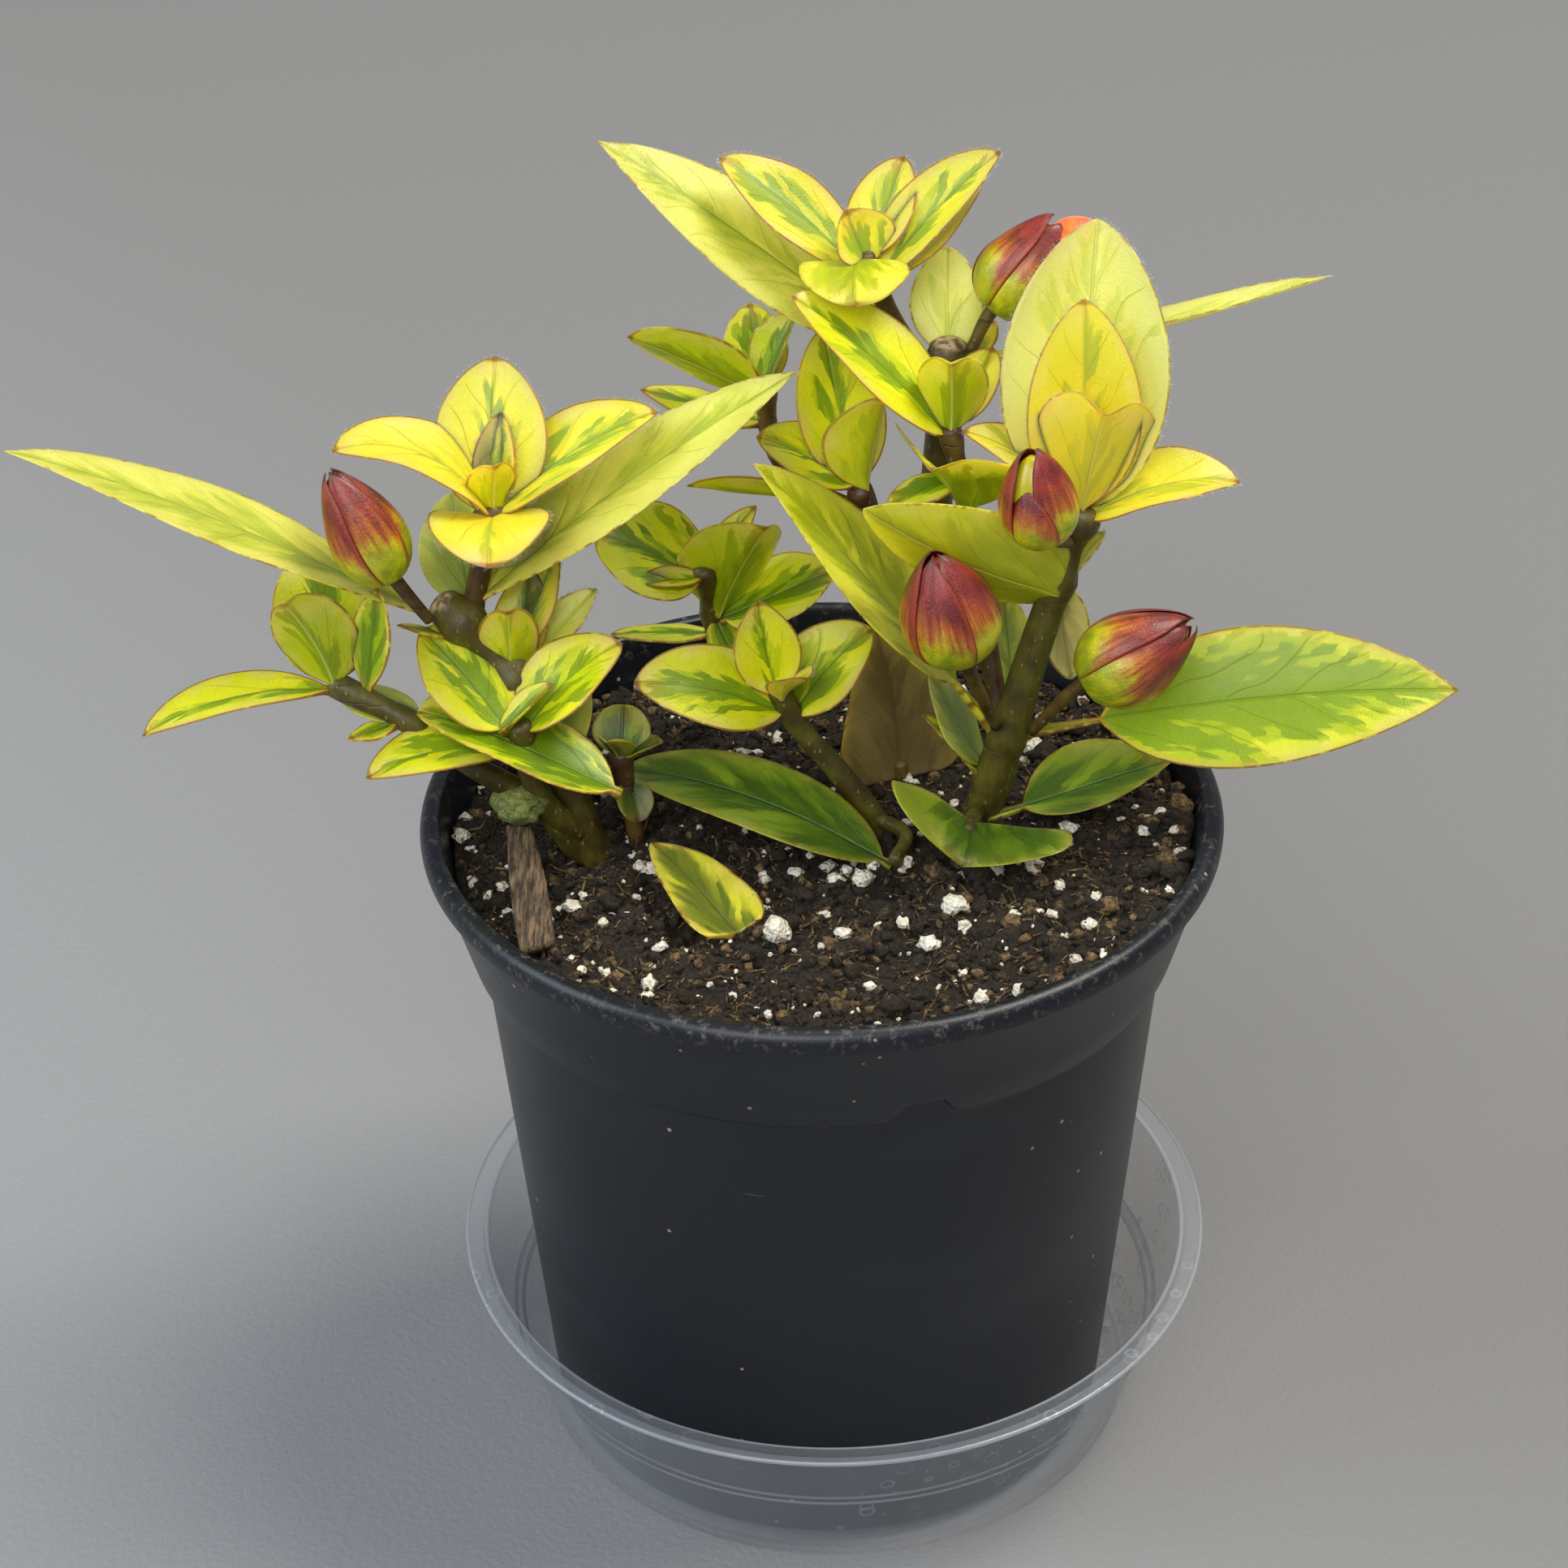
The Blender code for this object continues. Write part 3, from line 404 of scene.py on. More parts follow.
# %% The right and front shoots
SHOOTS["right_shoot"] = ([
    ([(23.5, 3, 101), (24.5, 2, 106), (28, 0, 121), (31.5, 0, 135), (34.5, 0, 146),
      (37, 1, 155.5)], 3.2, 1.9, "olive"),
    ([(27, 1, 119), (24, 7, 138), (21.7, 8, 152.8), (19.2, 10, 165)], 1.5, 1.2, "dark"),
    ([(24, 1, 106.5), (22.5, -5, 108.5), (21.5, -10, 109.5)], 1.2, 1.0, "olive"),
], [
    (29, -0.5, 120, -3, 8, 66, 22, 12, 8, 40, STALKED, "lush"),
    (26, 0, 120, 176, 52, 57.5, 20, 8, 10, -11, STALKED, "olive"),
    (24.5, 2, 113, 158, 58, 17, 10, 0, 0, 0, OVAL, "grey"),
    (24, 1, 112, 175, 50, 14, 5, 0, 15, 0, OVAL, "lime"),
    (28.5, 3, 124, 100, 60, 17, 8, 0, 0, 0, OVAL, "grey"),
    (34, 1, 146, 0, -80, 18, 8, 0, 15, 70, OVAL, "withered"),
    (34.4, -2, 145.2, 198, 33, 35.8, 19.5, -20, 25, 68, BROAD_FOOT, "olive"),
    (35.5, 0.5, 146, 20, 46, 9, 5, 0, 15, 0, OVAL, "pale"),
    (37.5, 2.5, 154, 81, 68, 44, 25, 15, 15, 0, OVAL, "pale"),
    (37.5, 1.8, 155.5, 88, 77, 32, 17, 12, 15, 0, OVAL, "golden"),
    (37.4, 0.5, 155, -10, 80, 21, 18.5, 6, 20, -80, BROAD_TIP, "golden"),
    (37.5, 1, 154.5, 5, 13, 24, 13, 50, 18, 12, OVAL, "golden"),
    (36.8, 2.2, 154.8, 166, 36, 21, 9, 60, 15, -15, OVAL, "golden"),
    (37.5, 3, 155.5, 38, 37, 19, 7, 0, 15, 0, OVAL, "golden"),
    (19.3, 10, 163.5, 170, 43, 32, 17, 18, 12, -12, OVAL, "young"),
    (19.3, 9.5, 165, -95, 80, 13, 12, 30, 30, 0, ROUND, "lime"),
    (19.5, 11, 165, 55, 38, 14, 9, 0, 10, 0, OVAL, "young"),
    (21.7, 7.5, 152.5, -130, 54, 16.5, 24, 20, 22, 0, BROAD_TIP, "lime"),
    (20.5, 9, 158, 205, -10, 12, 8, 20, 0, 0, OVAL, "lime"),
    (22.3, -6, 108.8, -97, 4, 15, 31, 16, 26, -17, BROAD_TIP, "deep"),
    (25, -0.5, 105.2, 6, 17, 29.5, 15, 0, 20, 12, STALKED, "deep"),
])
SHOOTS["front_shoot"] = ([
    ([(9, -1, 101), (8.5, -1, 105), (2, -0.5, 115), (-3, 0, 121.5), (-6, 0, 128)], 2.2, 1.3, "olive"),
    ([(8.5, -1.5, 106.2), (12.5, -6, 106.3), (10.8, -12.6, 106.1)], 1.2, 1.0, "olive"),
], [
    (-6, 0, 127, 155, 79, 16, 10.5, -15, 15, -55, OVAL, "young"),
    (-6, -1, 127.5, -50, 42, 10, 8, 20, 25, 0, OVAL, "tip"),
    (-5, -0.5, 124, 188, 19, 24, 14, 35, 12, -34, OVAL, "young"),
    (-4, 0.5, 123, 25, 42, 18, 14, 35, 15, 18, OVAL, "young"),
    (10.2, -13.0, 105.3, 156, 8, 45.5, 15, 32, 10, -10, OVAL, "deep"),
])
print({name: len(leaves) for name, (stems, leaves) in SHOOTS.items()})

# %% The shoots at the back and the loose leaves
SHOOTS["back_shoot"] = ([
    ([(14, 24, 101), (14.3, 24, 106), (15, 24, 120), (18, 24, 150), (19.5, 24.5, 171)], 2.9, 2.5, "scarred"),
    ([(18.5, 24.5, 164), (12, 26, 174), (7.1, 26, 185)], 1.6, 1.2, "dark"),
    ([(15.5, 24, 126), (11, 19, 141), (6.2, 14, 153.5)], 1.5, 1.2, "dark"),
    ([(16, 24, 136), (2, 28, 144), (-6, 30, 151), (-7.8, 30, 163)], 1.5, 1.2, "dark"),
], [
    (18, 24.5, 165.5, 171, 36, 62, 17.5, 5, 6, -24, LANCE, "sage"),
    (20, 24.5, 169, 0, 14, 57, 12, -17, 15, -12, LANCE, "pale"),
    (19.5, 25.5, 169, 90, 55, 17, 11, 0, 0, 0, OVAL, "pale"),
    (20, 24.5, 168, 40, 30, 10, 7, 0, 0, 0, OVAL, "tip"),
    (7, 26.3, 182.5, 165, 37, 27, 12.5, 10, 12, -22, OVAL, "tip"),
    (7.6, 25.2, 184, 150, 66, 9, 12, 0, 24, -20, OVAL, "tip"),
    (7.5, 26.5, 184, 60, 48, 17, 11, 0, 15, 0, OVAL, "tip"),
    (8.5, 25.5, 181, 12, 45, 27, 12, 12, 25, 24, OVAL, "tip"),
    (9, 26.8, 180.5, 20, 40, 22, 15, 0, 10, 0, OVAL, "young"),
    (6, 25.2, 184.5, -92, -5, 13, 16, 60, 5, 0, ROUND, "olive"),
    (5.6, 14.5, 153, 110, 58, 25, 14, 0, 10, 0, OVAL, "young"),
    (6, 14, 154, 170, 26, 17, 12.5, 20, 12, -15, OVAL, "young"),
    (6.8, 13.5, 153.5, 5, 78, 16, 15, 10, 35, -50, OVAL, "young"),
    (7.2, 14.8, 151.3, 182, 8, 27, 9, 0, 12, 45, SLIM, "young"),
    (-7.5, 30, 161, 178, 26, 23, 12, 12, 15, 60, OVAL, "lime"),
    (-8, 30.5, 161.5, 102, 51, 14, 10, 0, 10, 0, OVAL, "lime"),
    (-7.8, 30, 162, 30, 62, 13, 10, 0, 35, 0, OVAL, "lime"),
    (-7.5, 30.5, 156, 172, 15, 20, 10, 0, 0, 0, OVAL, "young"),
])
SHOOTS["back_left_shoot"] = ([
    ([(-12, 36, 101), (-13, 34, 105), (-14, 31, 114), (-16, 26, 124), (-17.2, 22, 136)],
      1.8, 1.3, "olive"),
], [
    (-17, 22, 134, 178, 27, 19, 17, 15, 10, -30, ROUND, "lime"),
    (-17.3, 21.5, 135, 205, 10, 11, 5, 0, 20, -20, OVAL, "young"),
    (-17, 22, 135.5, 35, 42, 13, 5.5, 0, 25, 20, OVAL, "young"),
    (-15.5, 23.5, 127.5, -28, 63, 20, 19, 10, 28, -38, OVAL, "lime"),
    (-15, 24, 126, 5, 24, 20, 14, 0, 12, 20, OVAL, "lime"),
    (-16, 24.5, 126, -60, -30, 9, 6, 0, 0, 0, OVAL, "lime"),
    (-15.5, 27, 122, 178, 0, 17, 6, 0, 0, 0, OVAL, "lime"),
])
SHOOTS["dry_leaf"] = ([
    ([(12.3, 14, 101), (12.2, 14, 106)], 1.2, 1.0, "dark"),
], [(12.2, 14, 103.9, 178, 82, 27, 20, 12, 10, -70, BROAD_FOOT, "dry")])
SHOOTS["yellow_leaf"] = ([
    ([(-12.6, -27.6, 101), (-12.8, -27.2, 106)], 1.1, 0.9, "dark"),
], [(-12.2, -30.6, 105.7, 122, 6, 25, 12.5, 14, 14, 0, BROAD_FOOT, "yellow")])
print(sum(len(leaves) for stems, leaves in SHOOTS.values()), "leaves in all")

# %% [markdown]
# ## The blades
# A real leaf is a thin waxy blade with a round rim, a groove over its midrib and a
# ridge below. So each blade is a loft of flat rings from its foot to its tip: the
# ring's width follows the leaf's outline, and its middle follows the arched midrib.
# Along the foot the ring is small and round, which gives the leaf its stalk. A flat
# sheet with a Solidify modifier is simpler, but its rim is square and looks cut out.

# %% Rows and sections of a blade
LEAF_ROWS, LEAF_COLUMNS = 30, 26


def bunched(rows):
    """Shares from 0 to 1 as a column, closer together towards both ends."""
    even = np.linspace(0, 1, rows)[:, None]
    return 0.5 * even + 0.25 * (1 - np.cos(np.pi * even))


def flat_section(columns):
    """Round a flat section: s from rim to rim, its height, and 1 on top and 0 below.

    The height fades to nothing at the rims as sin(angle)^0.6 does.
    """
    s, sine = around(columns, 0.5)
    return s, np.sign(sine) * abs(sine) ** 0.6, np.clip(0.5 + 3 * sine, 0, 1)


def blade_width(t, form):
    """Share of the full width at t: u^a (1-u)^b over its largest value."""
    low, high, stalk = form
    u = np.clip((t - stalk) / (1 - stalk), 0, 1)
    peak = low / (low + high)
    return u**low * (1 - u) ** high / (peak**low * (1 - peak) ** high)


# %% [markdown]
# The youngest leaves carry fine pale hairs, which show against the light along
# their rims. Blender's hair curves aren't part of a mesh, so each hair is a spike of
# three sides.

# %% Hairs
HAIRY = ("tip", "golden", "pale")
HAIR = np.array(rgb(236, 214, 176)[:3])
HAIRS_PER_MM, HAIR_LENGTHS = 7, (0.3, 0.75)
HAIR_FOOT, HAIR_TIP, HAIR_ROOT = 0.03, 0.01, 0.15


def add_hairs(pile, sides, outward, ahead, count, seed):
    """Thin spikes from just inside the rim, thicker than real hairs, so that they show."""
    chance = np.random.default_rng(seed)
    side = chance.integers(0, 2, count)
    t = chance.uniform(0.25, 1.0, count) * (LEAF_ROWS - 1)
    row = np.minimum(t.astype(int), LEAF_ROWS - 2)
    share = (t - row)[:, None]
    foot = sides[side, row] * (1 - share) + sides[side, row + 1] * share
    way = outward[side, row] + ahead[row] * (0.3 + 1.5 * (t / LEAF_ROWS)[:, None] ** 6)
    way = unit(way + chance.normal(0, 0.25, (count, 3)))
    first = unit(np.cross(way, (0.3, 0.2, 1.0)))
    ring = circles(3, first, np.cross(way, first))
    end = foot + chance.uniform(*HAIR_LENGTHS, count)[:, None] * way
    root = foot - HAIR_ROOT * way
    spikes = np.stack([root[:, None] + HAIR_FOOT * ring, end[:, None] + HAIR_TIP * ring], axis=1)
    faces = outward_faces(spikes[0])
    every = [[k + 6 * n for k in face] for n in range(count) for face in faces]
    pile.add(spikes, every, blade=np.array([0.8, 1.0, 1.0]), place=np.array([0.0, 3.0, 3.0]),
             margin=HAIR, heart=HAIR, streak=HAIR, under=HAIR, habit=np.zeros(3), seed=0.0)


# %% A leaf from its row of the table
# Millimetres; the sway and the waves are shares of the length and of the width.
HALF_THICK, FOOT_THICK, TIP_THINNER = 0.24, 0.5, 0.14
STALK_RADIUS, STALK_LENGTH, TIP_RADIUS = 0.75, 1.2, 0.12
GROOVE, RIDGE, MIDRIB_WIDTH = 0.12, 0.32, 0.55
SWAY, WAVE_SIZES, WAVE_COUNTS = 0.012, (0.010, 0.022), (1.2, 2.0)


def add_leaf(pile, leaf, seed):
    """Rings of the blade: midrib(t) + y * across + z * normal.

    The midrib is an arc that turns by `arch` over a chord of `length`. Across it, y is s
    times the half width, and z is the fold, small waves along the margin, and half the
    thickness up or down, less a groove above and plus a ridge below the midrib. A notch
    draws the tip back over the midrib, which makes a broad tip heart shaped.
    """
    heading, rise, length, width, arch, fold, roll, form, look, *curl = leaf[3:]
    chance = np.random.default_rng(seed)
    along, side, up = directions(heading, rise)
    t = bunched(LEAF_ROWS)
    s, height, face = flat_section(LEAF_COLUMNS)

    bend = math.radians(arch if abs(arch) > 0.5 else 0.5)
    radius = length / (2 * math.sin(bend / 2))
    slope = bend / 2 - bend * t
    forward = radius * (math.sin(bend / 2) - np.sin(slope))
    lift = radius * (np.cos(slope) - math.cos(bend / 2)) + sum(curl) * length * np.sin(2 * np.pi * t)
    sway = chance.uniform(-SWAY, SWAY) * length * np.sin(np.pi * t)
    midrib = np.array(leaf[:3]) + forward * along + lift * up + sway * side
    ahead = np.cos(slope) * along + np.sin(slope) * up
    normal = np.cos(slope) * up - np.sin(slope) * along
    turn = math.radians(roll)
    across = math.cos(turn) * side + math.sin(turn) * normal
    normal = math.cos(turn) * normal - math.sin(turn) * side

    foot = np.exp(-((t / max(form[2] + STALK_LENGTH / length, 0.05)) ** 2))
    half = np.hypot(blade_width(t, form) * width / 2, STALK_RADIUS * foot + TIP_RADIUS)
    from_midrib = half * s
    crease = math.radians(fold)
    wave = chance.uniform(*WAVE_SIZES) * width * np.sin(
        2 * np.pi * (chance.uniform(*WAVE_COUNTS) * t + chance.uniform(0, 1)) + 1.3 * np.sign(s)) * s**2
    z = half * abs(s) ** 1.3 * math.sin(crease) + wave * np.sin(np.pi * t)
    z = z + (HALF_THICK + FOOT_THICK * foot - TIP_THINNER * t**4) * height
    spine = np.exp(-((from_midrib / MIDRIB_WIDTH) ** 2)) * (1 - t) ** 0.5
    z = z - np.where(height > 0, GROOVE, RIDGE) * spine
    y = from_midrib * math.cos(crease)
    rings = midrib[:, None] + y[..., None] * across[:, None] + z[..., None] * normal[:, None]
    hollow = np.exp(-((from_midrib / (0.17 * width)) ** 2)) * np.clip(t / 0.3 - 7 / 3, 0, 1) ** 2
    notch = NOTCHES.get(form, 0.02) * length * hollow
    rings = rings - notch[..., None] * (ahead + 0.5 * normal)[:, None]

    margin = np.minimum((1 - abs(s)) * half, 0.35 * (1 - t) * length)
    *colours, reach, spots, dark = LOOKS[look]
    edge, heart, streak, under = (np.array(rgb(*colour)[:3]) for colour in colours)
    shade = chance.uniform(0.92, 1.06)
    pile.add_rings(
        rings, blade=facts(t, s, face), place=facts(forward, from_midrib, margin),
        margin=edge * shade, heart=heart * shade, streak=streak, under=under * shade,
        habit=np.array([reach * chance.uniform(0.6, 1.35), spots, dark]), seed=float(seed % 97))
    if look in HAIRY:
        sides = np.stack([rings[:, (k, k - 1)].mean(axis=1) for k in (0, LEAF_COLUMNS // 2)])
        add_hairs(pile, sides, np.stack([across, -across]), ahead, int(length * HAIRS_PER_MM), seed)


# %% [markdown]
# ## The leaf's finish
# The green heart of a variegated leaf is not painted on its outline: it runs out
# along the side veins in flames. The shader bends its noise the same way, by
# reading it along lines that leave the midrib at a slant. A thin dark line follows
# the margin, broken into dashes on old leaves, and the wax gives a soft gloss. A
# painted texture would need one image for each leaf; noise gives each its own.

# %% The leaf material
VEIN_SLANT, VEIN_CURVE, VEIN_STEP, BAND_STEP = 2.3, 0.07, 9.0, 2.4


def leaf_material():
    """Lengths along and across a blade are in millimetres here, as its own values are."""
    sh = Shader("variegated_leaf")
    t, s, top = sh.parts(sh.attribute("blade"))
    x, y, rim = sh.parts(sh.attribute("place"))
    reach, spots, line = sh.parts(sh.attribute("habit"))
    seed = sh.attribute("seed", "Fac")
    margin, green, streak = (sh.attribute(name) for name in ("margin", "heart", "streak"))
    out, side = y.math("ABSOLUTE"), s.math("ABSOLUTE")
    half_side = y.math("SIGN") * 4.0 + seed * 7.3

    # The heart and its flames, along the slant of the side veins.
    vein = x - out * VEIN_SLANT + out * out * VEIN_CURVE
    wobble = sh.noise((x * 0.25, y * 0.4, half_side), 1.0, 2.0)
    band = (vein / BAND_STEP + wobble * 2.5).math("FLOOR")
    patch = sh.noise((vein * 0.10, out * 0.12, half_side), 1.0, 1.0)
    torn = sh.noise((band * 3.7, out * 0.25, half_side + 3.0), 1.0, 1.0)
    inner = sh.noise((band * 2.9 + 11.0, out * 0.3, half_side + 9.0), 1.0, 1.0)
    edge = reach * (1.3 - t * 0.6) + (patch - 0.5) * 2.2 + (torn - 0.5) * 1.3
    crisp = 1 - spots * 0.8
    heart = ((edge - side) * crisp).step(-0.04, 0.09)
    flames = ((edge * 0.7 + (inner - 0.5) * 2.6 - side) * crisp).step(-0.05, 0.11)
    cloud = sh.noise((x * 0.14, y * 0.14, half_side), 1.0, 2.0)
    pale = sh.mix((cloud - 0.42) * 1.6, margin, green)
    colour = sh.paint(pale, (heart, green), (flames * heart * (0.55 + cloud * 0.5), streak))

    # Side veins, the midrib and the underside.
    wander = sh.noise((x * 0.08, out * 0.08, half_side + 5.0), 1.0, 1.0) * 1.4
    ribs = vein / VEIN_STEP + wander
    nearest = ribs.math("ROUND")
    faint = sh.noise((nearest * 5.3, half_side, 2.0), 1.0, 0.0).step(0.40, 0.62)
    side_vein = (ribs - nearest).math("ABSOLUTE").step(0.028, 0.004)
    side_vein = side_vein * out.step(0.1, 0.8) * rim.step(0.6, 2.5)
    midrib = out.step(0.34, 0.08)
    tint = sh.mix(line * (1 - heart * 0.7), streak, (206, 140, 40))
    colour = sh.paint(colour, (side_vein * faint * 0.55, tint), (midrib * 0.4, streak))
    under = sh.paint(colour, (0.6, sh.attribute("under")), (midrib * 0.4, (216, 214, 120)))
    colour = sh.mix(top, under, colour)

    # A pale wash, a warm rim, the dark line in dashes, then specks, blots and mottle.
    blush = sh.noise((x * 0.22, s, seed), 1.0, 2.0)
    wash = rim.step(3.2, 0.3) * line * (1 - heart) * blush.step(0.35, 0.65)
    warm = rim.step(1.9, 0.1) * line * (blush * 1.4 - 0.2)
    dashes = sh.noise((x * 0.42, s.math("SIGN") * 3.0, seed * 3.1), 1.0, 2.0)
    dark = rim.step(0.48, 0.22) * (line * 0.9 + (dashes - 0.5) * 2.6).step(0.2, 0.75)
    specks = sh.noise((x * 1.1, y * 1.1, seed * 5.0), 1.0, 1.0).step(0.77, 0.80)
    blots = sh.noise((x * 0.7, y * 2.4, seed * 9.0), 1.0, 2.0).step(0.66, 0.71) * rim.step(1.3, 0.5)
    mottle = sh.noise((x * 1.6, y * 1.6, seed), 1.0, 4.0, 0.65)
    colour = sh.paint(
        colour, (wash * 0.5, (252, 226, 140)), (warm * 0.7, (234, 146, 74)), (dark * 0.85, (112, 48, 26)),
        ((specks * 0.4 + blots * 0.75) * spots, (128, 84, 38)), ((mottle - 0.45) * 0.5, streak))

    # Relief and gloss of the wax, and light that shines through.
    pores = sh.noise((x * 2.6, y * 2.6, seed))
    height = side_vein * -0.4 + midrib * -0.5 + pores * 0.3 + cloud * 0.9 + wobble * 0.4
    grain = sh.noise((x * 0.8, y * 0.8, seed + 5.0))
    return sh.finish(
        Base_Color=colour, Roughness=0.24 + grain * 0.24, Normal=sh.bump(height, 0.0003),
        Coat_Weight=0.1, Coat_Roughness=0.2, Subsurface_Weight=0.8,
        Subsurface_Radius=(1.0, 0.9, 0.08), Subsurface_Scale=0.0022, IOR=1.4)


LEAF = leaf_material()

# %% [markdown]
# ## The stems
# Old stems are olive brown with pale dots and a ring at each pair of leaves, and
# young ones are dark purple brown. The two pruned stems end in a corky cut. A curve
# with a bevel gives such a rod too, but a loft of round rings can also swell where a
# leaf grows and tell the material where its cut end is.

# %% A rod along a path
# How young each bark looks, and from what share of its length a pruned stem is cork.
YOUTH = {"olive": 0.0, "dark": 1.0, "scarred": 0.15}
CORK_FROM = 0.955


def smooth_path(points, steps=7):
    """A Catmull-Rom curve through the points, with steps to each stretch."""
    p = np.array([points[0], *points, points[-1]], float)
    p[0], p[-1] = 2 * p[1] - p[2], 2 * p[-2] - p[-3]
    t = np.linspace(0, 1, steps, endpoint=False)[:, None]
    stretches = [
        0.5 * (2 * b + (c - a) * t + (2 * a - 5 * b + 4 * c - d) * t**2 + (3 * b - a - 3 * c + d) * t**3)
        for a, b, c, d in zip(p, p[1:], p[2:], p[3:])]
    return np.concatenate(stretches + [p[-2:-1]])


def rod_rings(path, radius, sides=16):
    """Round rings square to the path, of this radius at each point, ending in a small dome."""
    ahead = unit(np.gradient(path, axis=0))
    first = unit(np.cross(ahead, (0.3, 1.0, 0.2)))
    ring = circles(sides, first, np.cross(ahead, first))
    dome = np.array([0.35, 0.75, 0.95])
    path = np.concatenate([path, path[-1] + dome[:, None] * radius[-1] * 0.6 * ahead[-1]])
    radius = np.concatenate([radius, radius[-1] * np.sqrt(1 - dome**2)])
    ring = np.concatenate([ring, np.repeat(ring[-1:], len(dome), axis=0)])
    return path[:, None] + radius[:, None, None] * ring


def add_stem(pile, stem, leaves):
    """A rod whose radius tapers, with a swelling of a fifth where a leaf grows."""
    points, foot, end, bark = stem
    path = smooth_path(points)
    radius = np.linspace(foot, end, len(path))
    for leaf in leaves:
        distance = np.linalg.norm(path - np.array(leaf[:3]), axis=1)
        radius += 0.22 * end * np.exp(-((distance / 2.2) ** 2)) * (distance.min() < 4)
    rings = rod_rings(path, radius)
    cork = (np.linspace(0, 1, len(rings)) > CORK_FROM) * (bark == "scarred") * 1.0
    pile.add_rings(rings, youth=YOUTH[bark], cork=np.repeat(cork, rings.shape[1]))


def stem_material():
    """Bark with long streaks, pale dots and dark rings, young or old, and cork on a cut end."""
    sh = Shader("stem_bark")
    place = sh.place()
    cloud = sh.noise(place, 260.0, 4.0)
    streaks = sh.noise(sh.stretched(place, 900.0, 900.0, 120.0))
    dots = sh.cells(sh.stretched(place, 700.0, 700.0, 420.0)).step(0.2, 0.12)
    rings = sh.noise(sh.stretched(place, 70.0, 70.0, 900.0), 1.0, 2.0).step(0.66, 0.72)
    old = sh.mix(cloud.step(0.3, 0.7), (64, 54, 12), (96, 90, 24))
    new = sh.mix(cloud.step(0.3, 0.7), (66, 34, 20), (100, 80, 26))
    colour = sh.paint(
        old, (streaks.step(0.45, 0.7) * 0.45, (66, 46, 18)), (sh.attribute("youth", "Fac"), new),
        (dots * 0.35, (168, 150, 84)), (rings * 0.5, (52, 40, 16)),
        (sh.attribute("cork", "Fac"), sh.mix(streaks.step(0.4, 0.6), (112, 84, 54), (196, 172, 128))))
    height = streaks * 0.5 + dots * 0.5 + cloud * 0.3 - rings * 0.6
    return sh.finish(Base_Color=colour, Roughness=0.34 + cloud * 0.25, Normal=sh.bump(height, 0.00025))


STEM = stem_material()

# %% Make the shoots
for number, (name, (stems, leaves)) in enumerate(SHOOTS.items()):
    foliage, wood = Pile(), Pile()
    for k, leaf in enumerate(leaves):
        add_leaf(foliage, leaf, 100 * number + 7 * k + 3)
    for stem in stems:
        add_stem(wood, stem, leaves)
    slot_name = "dry_leaf" if name == "dry_leaf" else "leaf"
    foliage.make(name + "_leaves", LEAF, slot_name, name)
    wood.make(name + "_stems", STEM, slot_name)

# %% [markdown]
# ## The buds
# A bud is wrapped in five pointed sepals, lime green at the foot and dark red above.
# Each sepal is a curved blade on the bud's round envelope: it is wide almost to its
# tip, where it closes to a point, and one of its sides slides under a neighbour. The
# crown bud's front sepal is shorter, so it narrows earlier and stands off a little.
# A round core fills what shows between them. One lumpy bud shape would be less work,
# but the overlapping edges are what makes a bud look like one. The open bud also
# shows the end of its orange tube.

# %% Sepals on a round envelope
# Foot of the stalk, foot of the bud, heading, rise, length, width, and how open it is.
BUDS = {
    "left_bud": ((-55.9, -4.4, 143.2), (-60.6, -6, 151), 176, 66, 18, 10.5, 0.1),
    "crown_bud": ((36, -1.55, 153), (31.8, -8.5, 157), 205, 80, 15.5, 10.5, 0.3),
    "middle_bud": ((25.8, -3.1, 123.2), (20.2, -12.5, 140.7), 205, 76, 18, 13.5, 0.1),
    "right_bud": ((31, -2.7, 122), (37.8, -8.5, 133.8), 2, 31, 18, 13, 0.15),
    "open_bud": ((22.6, 22.5, 171.6), (25.6, 24, 177.5), 12, 52, 16, 12, 0.5),
}
SEPALS, SEPAL_ROWS, SEPAL_COLUMNS = 5, 26, 22
SEPAL_SPREAD, SEPAL_HALF_THICK, OVERLAP = 52, 0.2, 0.42
# Share of its length that a short sepal keeps, by bud and number.
SHORT_SEPALS = {("crown_bud", 4): 0.80}


def bud_profile(t):
    """Share of the full width along the calyx: round foot, pointed tip."""
    return np.sin(np.pi * t**0.78) ** 0.66 * (1 - 0.2 * t) / 0.92


